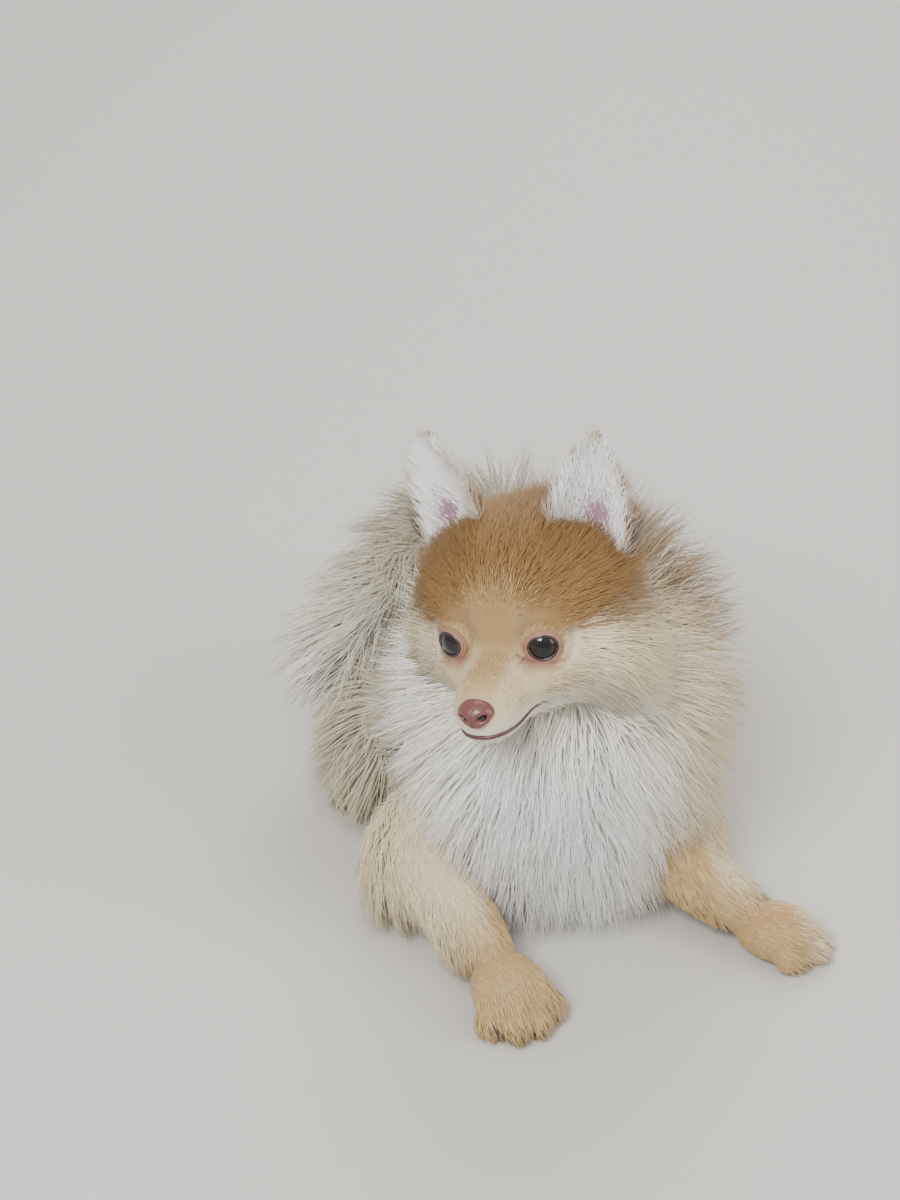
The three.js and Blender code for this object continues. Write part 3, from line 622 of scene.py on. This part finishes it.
def paint_points(mesh, name, colour):
    """A colour for each vertex."""
    attribute = mesh.color_attributes.new(name, "FLOAT_COLOR", "POINT")
    opaque = np.concatenate([colour, np.ones((len(colour), 1))], 1)
    attribute.data.foreach_set("color", opaque.astype(np.float32).ravel())


def hair_material(name, roughness):
    """A matt coat in the painted markings, with a little sheen."""
    material = bpy.data.materials.new(name)
    material.use_nodes = True
    nodes, links = material.node_tree.nodes, material.node_tree.links
    shader = nodes["Principled BSDF"]
    colour = nodes.new("ShaderNodeAttribute")
    colour.attribute_name = "coat"
    links.new(colour.outputs["Color"], shader.inputs["Base Color"])
    shader.inputs["Roughness"].default_value = roughness
    shader.inputs["Specular IOR Level"].default_value = 0.25
    shader.inputs["Sheen Weight"].default_value = 0.05
    return material


skin_share = region_shares(skin_place)
undercoat, _ = markings(skin_place, skin_share)
_, _, skin_bare = ear_places(skin_place, skin_share)
# The skin is the undercoat's colour darkened to 0.72: painted shade down between the hairs.
skin_colour = mix(undercoat * 0.72, EAR_SKIN, np.clip(1.3 * skin_bare, 0, 1))
for side in SIDES.values():
    r, e = eye_ellipse(skin_place, side)
    skin_colour = mix(skin_colour, LID_SKIN, 0.55 * (e < 1.2) * (r < 12))
paint_points(skin_mesh, "coat", skin_colour)
skin = add_object("skin", skin_mesh, hair_material("undercoat", 0.85))
skin_mesh.polygons.foreach_set("use_smooth", np.ones(len(skin_mesh.polygons), bool))
flesh = ["head", "neck", "torso", "tail"]
for word in SIDES:
    flesh += [f"{part}_{word}" for part in ("ear", "foreleg", "forepaw", "hindleg", "hindpaw")]
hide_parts(*flesh)


# Coat
# Guard hairs and undercoat together as thin tapered tufts rooted in the skin. They lie along the body, gather
# into locks, and are longest on the ruff, the bib and the tail, shortest on the muzzle, ears and toes.

skin_mesh.calc_loop_triangles()
corners = np.empty(len(skin_mesh.loop_triangles) * 3, np.int64)
skin_mesh.loop_triangles.foreach_get("vertices", corners)
corners = corners.reshape(-1, 3)
a, b, c = (skin_place[corners[:, k]] for k in range(3))
areas = np.linalg.norm(np.cross(b - a, c - a), axis=-1) / 2
middle = (a + b + c) / 3
middle_share = region_shares(middle)

# Tufts to each square millimetre
DENSITY = {
    "head": 2.2,
    "ear": 3.4,
    "neck": 0.75,
    "torso": 0.45,
    "tail": 1.0,
    "foreleg": 1.0,
    "forepaw": 1.25,
    "hindleg": 0.45,
    "hindpaw": 0.7,
}
density = np.zeros(len(areas))
for k, kind in enumerate(KINDS):
    density += DENSITY[kind] * middle_share[:, k]
underside = smoothstep(10 - middle[:, 2], 0, 5) * (middle_share[:, REGIONS.index("torso")] > 0.5)
density *= 1 - 0.8 * underside
wanted = density * areas
count = int(wanted.sum())
chosen = random.choice(len(areas), count, p=wanted / wanted.sum())
w = random.random((count, 2))
w = np.where(w.sum(1, keepdims=True) > 1, 1 - w, w)
w = np.concatenate([1 - w.sum(1, keepdims=True), w], 1)[..., None]
root = (skin_place[corners[chosen]] * w).sum(1)
normal = unit((skin_normal[corners[chosen]] * w).sum(1))

# No tufts on the nose leather, within the lids, on the lips or on the bare place in each ear
NOSE_BARE, LIP_BARE, LID_BARE = 8.6, 1.7, 1.14
nose_far = np.linalg.norm((to_head(root) - NOSE_CENTRE) / [1.05, 1, 0.95], axis=-1)
keep = nose_far > NOSE_BARE
for side in SIDES.values():
    r, e = eye_ellipse(root, side)
    facing_out = (normal * unit(root - eye_axes(side)[0])).sum(-1)
    keep &= ~((r < EYE_ZONE) & ((e < LID_BARE) | (facing_out < 0.4)))
by_lip = np.full(len(root), 99.0)
for point in mouth_line():
    by_lip = np.minimum(by_lip, np.linalg.norm(root - point, axis=-1))
keep &= by_lip > LIP_BARE
keep &= random.random(len(root)) > 1.05 * ear_places(root, region_shares(root))[2]
root, normal, by_lip = root[keep], normal[keep], by_lip[keep]
share = region_shares(root)


def grain(p, n, share):
    """Lie, lift, length and width of the coat at p: each region's own, mixed by its share."""
    h = to_head(p)
    x, y, z = h.T
    one = np.ones(len(p))
    lie = np.zeros((len(p), 3))
    lift, length, width = np.zeros((3, len(p)))
    down, back = np.array([0, 0, -1.0]), np.array([0, 1.0, 0])
    for k, (region, kind) in enumerate(zip(REGIONS, KINDS)):
        if region == "head":
            muzzle = smoothstep(-y, 26, 36)
            crown = smoothstep(z, 4, 26)
            cheek = smoothstep(-z, -6, 6) * smoothstep(y, -28, -6)
            jaw = smoothstep(-z, 8, 20) * smoothstep(y, -42, -26)
            temple = smoothstep(np.abs(x), 14, 30) * smoothstep(y, -24, -6)
            by_ear = np.exp(-((np.linalg.norm((np.abs(h) - [26, 0, 20]) / [15, 9, 9], axis=-1)) ** 2))
            out = np.sign(x) * smoothstep(np.abs(x), 5, 20)
            across = out * ((0.45 + 0.4 * temple + 0.3 * jaw) * (1 - 0.8 * muzzle) + 0.1)
            upward = 0.25 * crown - 0.6 * cheek - 0.6 * jaw + 0.5 * by_ear
            own = np.stack([across, one, upward], -1)
            for side in SIDES.values():
                away = h - EYE_CENTRE * [side, 1, 1]
                far = np.linalg.norm(away, axis=-1, keepdims=True)
                own += 0.9 * away / far * np.exp(-np.maximum(far - 8, 0) / 3.0)
            toward = own @ HEAD_TURN.T
            long = 6 + 7 * crown + 14 * cheek + 10 * temple + 9 * jaw + 6 * smoothstep(y, 10, 34) - 5 * by_ear
            long = long + (4.2 - long) * muzzle * (1 - 0.6 * jaw)
            to_eyes = [eye_ellipse(p, s)[0] for s in SIDES.values()]
            near_eye = np.exp(-np.maximum(np.minimum(*to_eyes) - 9, 0) / 5)
            long = long + (2.4 - long) * near_eye
            raised = 0.26 + 0.22 * crown + 0.12 * cheek + 0.34 * temple - 0.06 * muzzle
            thick = 0.36 + 0.01 * long
        elif kind == "ear":
            side = SIDES[region.split("_")[1]]
            q = in_ear(p, side)
            v = np.clip(q[:, 0] / EAR_HALF_WIDTH, -1, 1)
            up = np.clip(q[:, 2] / EAR_HEIGHT, 0, 1)
            inner = (n @ (HEAD_TURN @ EAR_TURNS[side][:, 1])) < -0.1
            own = np.stack([np.where(inner, 0.15 * v, 0.45 * v), np.where(inner, -0.35, 0.0), one], -1)
            toward = own @ EAR_TURNS[side].T @ HEAD_TURN.T
            low = smoothstep(0.4 - up, 0, 0.4)
            short = smoothstep(0.5 - up, 0, 0.2) * smoothstep(0.9 - np.abs(v), 0, 0.5)
            fringe = smoothstep(np.abs(v), 0.6, 1)
            long = np.where(inner, (8 + 3 * v * v) * (1 - 0.6 * short), 6 + 12 * low + 3 * fringe)
            raised = np.where(inner, 0.42, 0.3 + 0.12 * low)
            thick = 0.5 * one
        elif region == "neck":
            low = np.clip((112 - p[:, 2]) / 70, 0, 1)[:, None]
            nape = np.clip((p[:, 2] - 118) / 30, 0, 1)[:, None]
            toward = 0.62 * n + back * (0.5 + 0.4 * nape - 0.6 * low) + down * (0.25 + 0.7 * low - 0.5 * nape)
            crest = smoothstep(p[:, 2], 92, 120) * smoothstep(p[:, 0] + 0.3 * p[:, 1], -4, 22)
            toward = toward + crest[:, None] * [0.25, -0.35, 0.6]
            long = 46 - 6 * nape[:, 0] + 3 * smoothstep(p[:, 0], 20, 50) + 4 * crest
            raised = 0.52 * one
            thick = 0.54 * one
        elif region == "torso":
            toward = 0.55 * n + 0.8 * back + 0.35 * down
            rump = smoothstep(p[:, 1], 40, 80) * smoothstep(p[:, 2], 60, 84)
            toward = toward + rump[:, None] * [0, -0.5, 0.5]
            long = 38 - 16 * smoothstep(30 - p[:, 2], 0, 20) + 6 * rump
            raised = 0.48 * one
            thick = 0.66 * one
        elif region == "tail":
            centre, along, *_ = sections(FORMS["tail"], STATIONS)
            nearest = np.linalg.norm(p[:, None] - centre, axis=-1).argmin(1)
            outward = smoothstep(-p[:, 0], 24, 60)
            toward = n + 0.8 * along[nearest] + outward[:, None] * [-0.7, -0.3, 0.1]
            long = 40 + 18 * outward
            raised = 0.6 * one
            thick = 0.62 * one
        elif kind == "hindleg":
            low = smoothstep(52 - p[:, 2], 0, 24)
            toward = 0.6 * n + back * (0.7 - 0.4 * low)[:, None] + 0.75 * down
            long = 33 + 8 * low
            raised = 0.4 + 0.12 * low
            thick = 0.66 * one
        elif kind == "foreleg":
            side = SIDES[region.split("_")[1]]
            path = np.asarray(FORMS[region]["path"], float)
            along = unit(path[-1] - path[1])
            feather = smoothstep(n @ unit(np.array([0.7 * side, 0.6, -0.2])), 0.2, 0.9)
            toward = along + 0.5 * down + (0.5 * feather)[:, None] * (0.6 * n + 0.6 * down)
            elbow = smoothstep(p[:, 1], -96, -62)
            long = 8 + (6 + 18 * elbow) * feather
            raised = 0.28 + 0.2 * feather
            thick = 0.5 + 0.2 * feather
        else:
            paw = PAWS[region]
            heading = heading_of(paw)
            front = smoothstep((p - np.array(paw["heel"], float)) @ heading, 22, 34)
            toward = heading + 0.45 * down
            long = 5.5 + 4 * (kind == "hindpaw") + (5.5 if region == "forepaw_left" else 2.5) * front
            raised = 0.2 * one
            thick = 0.46 * one
        s = share[:, k]
        lie += unit(toward) * s[:, None]
        lift += raised * s
        length += long * s
        width += thick * s
    return unit(lie), lift, length, width


SWIRL_SIZE, SWIRL, RUFFLED = 19.0, 0.26, 0.14
lie, lift, length, width = grain(root, normal, share)
swirl = np.stack([ripple(root, SWIRL_SIZE, seed) for seed in (0.0, 7.0, 13.0)], -1)
swirl = SWIRL * swirl * smoothstep(length, 6, 30)[:, None]
lie = unit(lie + swirl + RUFFLED * random.normal(size=lie.shape))
flat = unit(lie - normal * (lie * normal).sum(-1, keepdims=True))
rise = unit(flat * (1 - lift[:, None]) + normal * lift[:, None])
width = width * random.uniform(0.75, 1.2, len(root))
length = length * random.uniform(0.72, 1.08, len(root)) * (0.35 + 0.65 * smoothstep(by_lip, 1, 7))
spread = 2.0 * random.normal(size=root.shape) * (share[:, :1] > 0.5)
root_colour, tip_colour = markings(root + spread, share)
shade = random.normal(1, 0.09, (len(root), 1)) * (1 + 0.06 * ripple(root, 7.0))[:, None]
# Each tuft is painted darker at the root and lighter at the tip: painted shade down in the coat, painted
# light at the tips.
root_colour = np.clip(root_colour * shade * 0.88, 0, 1)
tip_colour = np.clip(tip_colour * shade * 1.08, 0, 1)


def curve(root, rise, lie, length, s):
    """root + L(s - s²/2) rise + L s²/2 droop, s from 0 to 1; droop is the lie, sinking where L is long."""
    s = s[None, :, None]
    size = length[:, None, None]
    droop = unit(lie + [0, 0, -0.4] * smoothstep(length, 14, 34)[:, None])
    return root[:, None] + size * (s - s * s / 2) * rise[:, None] + size * s * s / 2 * droop[:, None]


def gathered(line, root, rise, lie, length, s, size, hold):
    """Tufts drawn towards the nearest of a few leading tufts, more towards their tips, so locks form."""
    count, at_once = len(root), 4000
    leaders = random.choice(count, max(1, int(count / size)), replace=False)
    nearest = np.empty(count, np.int64)
    for start in range(0, count, at_once):
        part = slice(start, start + at_once)
        gap = ((root[part, None] - root[leaders][None]) ** 2).sum(-1)
        nearest[part] = leaders[gap.argmin(1)]
    lead = curve(root[nearest], rise[nearest], lie[nearest], length[nearest], s)
    k = hold * (s**1.6)[None, :, None]
    spread = (root - root[nearest])[:, None] * 0.3
    return line * (1 - k) + (lead + spread) * k


MAP_PATCH = 0.003


def tuft_mesh(name, line, width, normal, colours, spot):
    """Three-sided tapering tufts round lines of points, each with its colours and a patch of the map."""
    count, rings = line.shape[:2]
    along = unit(np.gradient(line, axis=1))
    across = unit(np.cross(along, normal[:, None]))
    out = np.cross(across, along)
    s = np.linspace(0, 1, rings)
    radius = (width[:, None] / 2) * ((1 - s) ** 0.8 * (0.75 + 0.5 * s))[None]
    a = np.array([0.5, 0.5 + 2 / 3, 0.5 + 4 / 3]) * np.pi
    ring = across[:, :-1, None] * np.cos(a)[:, None] + out[:, :-1, None] * np.sin(a)[:, None]
    body = line[:, :-1, None] + ring * radius[:, :-1, None, None]
    points = np.concatenate([body.reshape(count, -1, 3), line[:, -1:]], 1)
    soft = unit(ring * 0.42 + normal[:, None, None] * 0.9)
    soft = np.concatenate([soft.reshape(count, -1, 3), unit(along[:, -1:] * 0.4 + normal[:, None] * 0.8)], 1)
    tip = 3 * (rings - 1)
    faces = [[0, 1, 2]]
    for i in range(rings - 1):
        for j in range(3):
            k = (j + 1) % 3
            if i == rings - 2:
                faces.append([3 * i + j, tip, 3 * i + k])
            else:
                faces.append([3 * i + j, 3 * i + 3 + k, 3 * i + k])
                faces.append([3 * i + j, 3 * i + 3 + j, 3 * i + 3 + k])
    faces = np.array(faces)
    corners = (faces[None] + (np.arange(count) * (tip + 1))[:, None, None]).reshape(-1)
    mesh = bpy.data.meshes.new(name)
    mesh.vertices.add(count * (tip + 1))
    mesh.vertices.foreach_set("co", metres(points.reshape(-1, 3)).ravel().astype(np.float32))
    mesh.loops.add(len(corners))
    mesh.loops.foreach_set("vertex_index", corners.astype(np.int32))
    mesh.polygons.add(len(corners) // 3)
    mesh.polygons.foreach_set("loop_start", np.arange(0, len(corners), 3, dtype=np.int32))
    mesh.update(calc_edges=True)
    steps = np.concatenate([np.repeat(s[:-1], 3), [1.0]])
    shades = colours[0][:, None] * (1 - steps[:, None]) + colours[1][:, None] * steps[:, None]
    paint_points(mesh, "coat", shades.reshape(-1, 3))
    patch = np.stack([np.append(np.tile([0, 0.5, 1.0], rings - 1), 0.5), steps], -1) * MAP_PATCH
    layout = mesh.uv_layers.new(name="OFBake")
    spots = (spot[:, None] + patch[None]).reshape(-1, 2)[corners]
    layout.data.foreach_set("uv", spots.astype(np.float32).ravel())
    mesh.polygons.foreach_set("use_smooth", np.ones(len(mesh.polygons), bool))
    mesh.normals_split_custom_set_from_vertices(soft.reshape(-1, 3))
    return mesh


def unwrapped(p):
    """Round the group's long axis and along it, scaled to fill the map."""
    centre = p.mean(0)
    axes = np.linalg.svd(p - centre, full_matrices=False)[2] if len(p) > 3 else np.eye(3)
    q = (p - centre) @ axes.T
    turn_of = np.arctan2(q[:, 1], q[:, 2]) / (2 * np.pi) + 0.5
    height = (q[:, 0] - q[:, 0].min()) / max(np.ptp(q[:, 0]), 1e-6)
    return np.stack([turn_of, height], -1) * 0.99 + 0.002


coat_hair = hair_material("coat hair", 0.62)
h = to_head(root)
strongest = np.array(KINDS)[share.argmax(1)]
side_word = np.where(np.where(share[:, 0] > 0.5, h[:, 0], root[:, 0]) > 0, "left", "right")
low_front = (strongest == "neck") & (root[:, 2] < 80) & (root[:, 1] < -30)
strongest = np.where((strongest == "head") & (h[:, 2] > 2), "crown", strongest)
strongest = np.where((strongest == "head") & (h[:, 1] > -18), "cheek", strongest)
group = np.char.add(np.char.add(np.where(low_front, "chest", strongest), "_"), side_word)
# Tufts to a lock, and how far they are drawn together: a long coat gathers twice, a short one once
LONG_FROM = 14
LONG_LOCKS, SHORT_LOCKS = ((14, 0.55), (110, 0.3)), ((7, 0.4),)
WAVE, WAVE_TURNS, WANDER = 0.045, 5.5, 0.05
TUFT_FLOOR, ROOT_FLOOR, ROOT_SINK = 0.7, 0.6, 0.8
for name in np.unique(group):
    at = np.flatnonzero(group == name)
    is_long = length[at].mean() > LONG_FROM
    s = np.linspace(0, 1, 4 if is_long else 3)
    line = curve(root[at], rise[at], lie[at], length[at], s)
    for gather, hold in LONG_LOCKS if is_long else SHORT_LOCKS:
        line = gathered(line, root[at], rise[at], lie[at], length[at], s, gather, hold)
    wave = random.normal(size=(len(at), 3)) * (length[at] * WAVE)[:, None]
    phase = random.uniform(0, 6.28, len(at))
    line = line + wave[:, None] * (s[None] * np.sin(WAVE_TURNS * s[None] + phase[:, None]))[..., None]
    wander = random.normal(size=(len(at), 1, 3)) * (length[at] * WANDER)[:, None, None]
    line = line + wander * (s**2)[None, :, None]
    low = line[..., 2] < TUFT_FLOOR
    line[..., 2] = np.where(low, TUFT_FLOOR + 0.02 * np.abs(line[..., 2]), line[..., 2])
    line[:, 0] -= normal[at] * ROOT_SINK
    line[:, 0, 2] = np.maximum(line[:, 0, 2], ROOT_FLOOR)
    colours = (root_colour[at], tip_colour[at])
    made = tuft_mesh(f"coat_{name}", line, width[at], normal[at], colours, unwrapped(root[at]))
    add_object(f"coat_{name}", made, coat_hair)


# Eyes
# Two wet, almost black eyes with a deep brown iris. Each has a dark lid edge, a paler bare rim round that,
# and a fold of skin where the hair begins.

def plain_material(name, colour, roughness, coat=0.0, bump=None, painted=False):
    """One colour, or the colours painted on the mesh, with an optional clear wet layer and fine relief."""
    material = bpy.data.materials.new(name)
    material.use_nodes = True
    nodes, links = material.node_tree.nodes, material.node_tree.links
    shader = nodes["Principled BSDF"]
    shader.inputs["Base Color"].default_value = (*colour, 1)
    shader.inputs["Roughness"].default_value = roughness
    shader.inputs["Coat Weight"].default_value = coat
    shader.inputs["Coat Roughness"].default_value = 0.05
    if painted:
        paint = nodes.new("ShaderNodeAttribute")
        paint.attribute_name = "coat"
        links.new(paint.outputs["Color"], shader.inputs["Base Color"])
    if bump:
        scale, strength = bump
        place = nodes.new("ShaderNodeTexCoord")
        grainy = nodes.new("ShaderNodeTexVoronoi")
        grainy.inputs["Scale"].default_value = scale
        relief = nodes.new("ShaderNodeBump")
        relief.inputs["Strength"].default_value = strength
        relief.inputs["Distance"].default_value = 0.0004
        links.new(place.outputs["Object"], grainy.inputs["Vector"])
        links.new(grainy.outputs["Distance"], relief.inputs["Height"])
        links.new(relief.outputs["Normal"], shader.inputs["Normal"])
    return material


def smooth_piece(name, grids, material):
    """A smooth-shaded piece from ring surfaces."""
    made = mesh_of_rings(name, grids)
    made.polygons.foreach_set("use_smooth", np.ones(len(made.polygons), bool))
    return add_object(name, made, material)


def cord_rings(path, radius, sides=10):
    """Rings of one radius round a line of points, in the plane square to it."""
    along = unit(np.gradient(path, axis=0))
    across = unit(np.cross(along, [0.13, 0.21, 0.97]))
    up = np.cross(across, along)
    a = angles(sides)[None, :, None]
    radius = np.asarray(radius).reshape(-1, 1, 1) * np.ones((len(path), 1, 1))
    return path[:, None] + radius * (across[:, None] * np.cos(a) + up[:, None] * np.sin(a))


IRIS = linear(34, 21, 16)
PUPIL = linear(8, 7, 12)
wet_eye = bpy.data.materials.new("wet eye")
wet_eye.use_nodes = True
nodes, links = wet_eye.node_tree.nodes, wet_eye.node_tree.links
facing = nodes.new("ShaderNodeAttribute")
facing.attribute_name = "facing"
ramp = nodes.new("ShaderNodeValToRGB")
stops = ramp.color_ramp.elements
stops[0].position, stops[1].position = 0.70, 0.78
stops.new(0.90)
stops.new(0.93)
for stop, colour in zip(stops, (PUPIL, IRIS, IRIS * 0.8, PUPIL)):
    stop.color = (*colour, 1)
shader = nodes["Principled BSDF"]
links.new(facing.outputs["Fac"], ramp.inputs["Fac"])
links.new(ramp.outputs["Color"], shader.inputs["Base Color"])
shader.inputs["Roughness"].default_value = 0.07
shader.inputs["Specular IOR Level"].default_value = 0.35
shader.inputs["Coat Weight"].default_value = 0.35
shader.inputs["Coat Roughness"].default_value = 0.02

lid_dark = plain_material("lid edge", linear(46, 30, 30), 0.35, 0.3)
lid_fold = plain_material("lid fold", linear(144, 108, 78), 0.75)
lid_pale = plain_material("lid rim", linear(150, 112, 98), 0.55)
# Each cord of a lid: its share of the opening, its distance from the eye's centre, its radius, its material
LID_CORDS = {
    "edge": (0.95, 7.8, 0.65, lid_dark),
    "rim": (1.07, 8.0, 0.6, lid_pale),
    "fold": (1.2, 8.1, 0.75, lid_fold),
}
LID_BOW = 0.25
for word, side in SIDES.items():
    centre, forward, sideways, up = eye_axes(side)
    eye = smooth_piece(f"eye_{word}_wet", [ball_rings(centre, EYE_RADIUS, 40, 48)], wet_eye)
    place, _ = read(eye.data)
    attribute = eye.data.attributes.new("facing", "FLOAT", "POINT")
    attribute.data.foreach_set("value", (unit(place - centre) @ forward).astype(np.float32))
    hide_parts(f"eye_{word}")
    a = np.linspace(0, 2 * np.pi, 49)
    for part, (scale, out, thick, material) in LID_CORDS.items():
        wide, high = OPENING_WIDE * scale, OPENING_HIGH * scale
        height = high * np.sin(a) + LID_BOW * np.cos(a) ** 2
        offset = sideways * wide * np.cos(a)[:, None] + up * height[:, None]
        depth = np.sqrt(np.maximum(out**2 - (offset**2).sum(-1), 1))
        loop = centre + offset + forward * depth[:, None]
        smooth_piece(f"lid_{part}_{word}", [cord_rings(loop, thick)], material)


# Nose and lips
# The nose leather is liver brown, pebbled and moist, with a slit at each side. The lips are a dark line.

NOSE_HALF = np.array([7.4, 6.2, 6.2])
NOSTRIL_PLACE = np.array([3.7, -5.2, -0.4])
NOSTRIL_SLANT, NOSTRIL_DEPTH, GROOVE_DEPTH = 0.5, 3.4, 0.7


def nose_rings(rows=60, sides=72):
    """(a x, b y, c z) on a sphere, narrower below and flatter above, with two nostrils pressed in."""
    b = np.clip(np.linspace(0, np.pi, rows), POLE, np.pi - POLE)[:, None]
    a = angles(sides)[None]
    x, z, y = np.sin(b) * np.cos(a), np.sin(b) * np.sin(a), -np.cos(b) + 0 * a
    taper = np.where(z < 0, 1 + 0.38 * z, 1)
    flat = np.where(z > 0, 0.86, 1)
    p = np.stack([x * taper * NOSE_HALF[0], y * NOSE_HALF[1], z * NOSE_HALF[2] * flat], -1)
    deep = np.zeros(p.shape[:2])
    for side in SIDES.values():
        q = p - NOSTRIL_PLACE * [side, 1, 1]
        slit = q[..., 0] * np.cos(NOSTRIL_SLANT * side) + q[..., 2] * np.sin(NOSTRIL_SLANT * side)
        slit_across = q[..., 2] * np.cos(NOSTRIL_SLANT) - side * q[..., 0] * np.sin(NOSTRIL_SLANT)
        dent = np.exp(-((slit / 2.1) ** 2) - (slit_across / 1.25) ** 2) * (p[..., 1] < 0)
        p[..., 1] += NOSTRIL_DEPTH * dent
        deep = np.maximum(deep, dent)
    groove = np.exp(-((p[..., 0] / 0.5) ** 2)) * (p[..., 1] < 0) * smoothstep(2 - p[..., 2], 0, 2)
    p[..., 1] += GROOVE_DEPTH * groove
    return from_head(NOSE_CENTRE + p), deep.ravel()


LEATHER, NOSTRIL_SHADE = linear(104, 58, 54), linear(26, 14, 14)
leather = plain_material("nose leather", LEATHER, 0.36, 0.3, bump=(900.0, 0.5), painted=True)
nose_grid, nose_deep = nose_rings()
nose = smooth_piece("nose_leather", [nose_grid], leather)
# The nostril slits are painted near black: painted shade inside the nostrils.
nose_colour = mix(LEATHER * np.ones((len(nose_deep), 1)), NOSTRIL_SHADE, smoothstep(nose_deep, 0.25, 0.8))
paint_points(nose.data, "coat", nose_colour)
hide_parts("nose")

lip_skin = plain_material("lips", linear(78, 44, 44), 0.42, 0.2)
LIP_RADIUS, LIP_OUT = 0.9, 0.1
lip_path = mouth_line(LIP_OUT)
taper = np.sin(np.linspace(0.03, np.pi - 0.03, len(lip_path))) ** 0.35
smooth_piece("lips", [cord_rings(lip_path, LIP_RADIUS * taper)], lip_skin)


# Claws
# Short dark horn claws, one from each toe, mostly hidden in the hair.

CLAW_LENGTH, CLAW_RADIUS, CLAW_DROP, CLAW_FLOOR = 6.2, 1.25, 4.2, 1.3
horn = plain_material("claw horn", linear(64, 50, 44), 0.4)
for name, paw in PAWS.items():
    centres, along, radius = toes_of(paw)
    grids = []
    for centre in centres:
        s = np.linspace(0, 1, 9)[:, None]
        height = np.array([0, 0, 1]) * (1.5 - CLAW_DROP * s**2)
        path = centre + along * (radius * 0.55 + CLAW_LENGTH * s) + height
        path[:, 2] = np.maximum(path[:, 2], CLAW_FLOOR)
        grids.append(cord_rings(path, CLAW_RADIUS * (1 - s[:, 0] ** 2 * 0.9), 8))
    smooth_piece(f"claws_{name}", grids, horn)


# Camera, light and floor
# The view looks down on the puppy from in front of it, a little to its right, as the picture was taken.

CAMERA_PLACE = [-229.4, -782.9, 650.0]
camera_data = bpy.data.cameras.new("camera")
camera_data.lens = 72
camera_data.sensor_width = 36
camera = bpy.data.objects.new("camera", camera_data)
camera.location = metres(CAMERA_PLACE)
camera.rotation_euler = Euler(np.radians([57, 0, -13.8]))
bpy.context.collection.objects.link(camera)
bpy.context.scene.camera = camera

floor_mesh = bpy.data.meshes.new("floor")
floor_mesh.from_pydata([(-6, -6, 0), (6, -6, 0), (6, 6, 0), (-6, 6, 0)], [], [(0, 1, 2, 3)])
floor = bpy.data.objects.new("floor", floor_mesh)
bpy.context.collection.objects.link(floor)
floor_mesh.materials.append(plain_material("pale floor", (0.5, 0.48, 0.45), 0.7))

# Each light: where it stands in metres, its size and its power
LIGHTS = {
    "key": ((-0.9, -1.1, 1.6), 0.9, 52),
    "fill": ((1.3, -0.9, 0.9), 1.2, 16),
    "back": ((0.5, 1.3, 1.3), 0.9, 20),
}
for name, (place, size, power) in LIGHTS.items():
    data = bpy.data.lights.new(name, "AREA")
    data.size = size
    data.energy = power
    lamp = bpy.data.objects.new(name, data)
    lamp.location = place
    lamp.rotation_euler = (-lamp.location).to_track_quat("-Z", "Y").to_euler()
    bpy.context.collection.objects.link(lamp)
world = bpy.data.worlds.new("soft room")
world.use_nodes = True
world.node_tree.nodes["Background"].inputs["Color"].default_value = (1, 0.98, 0.95, 1)
world.node_tree.nodes["Background"].inputs["Strength"].default_value = 0.75
bpy.context.scene.world = world
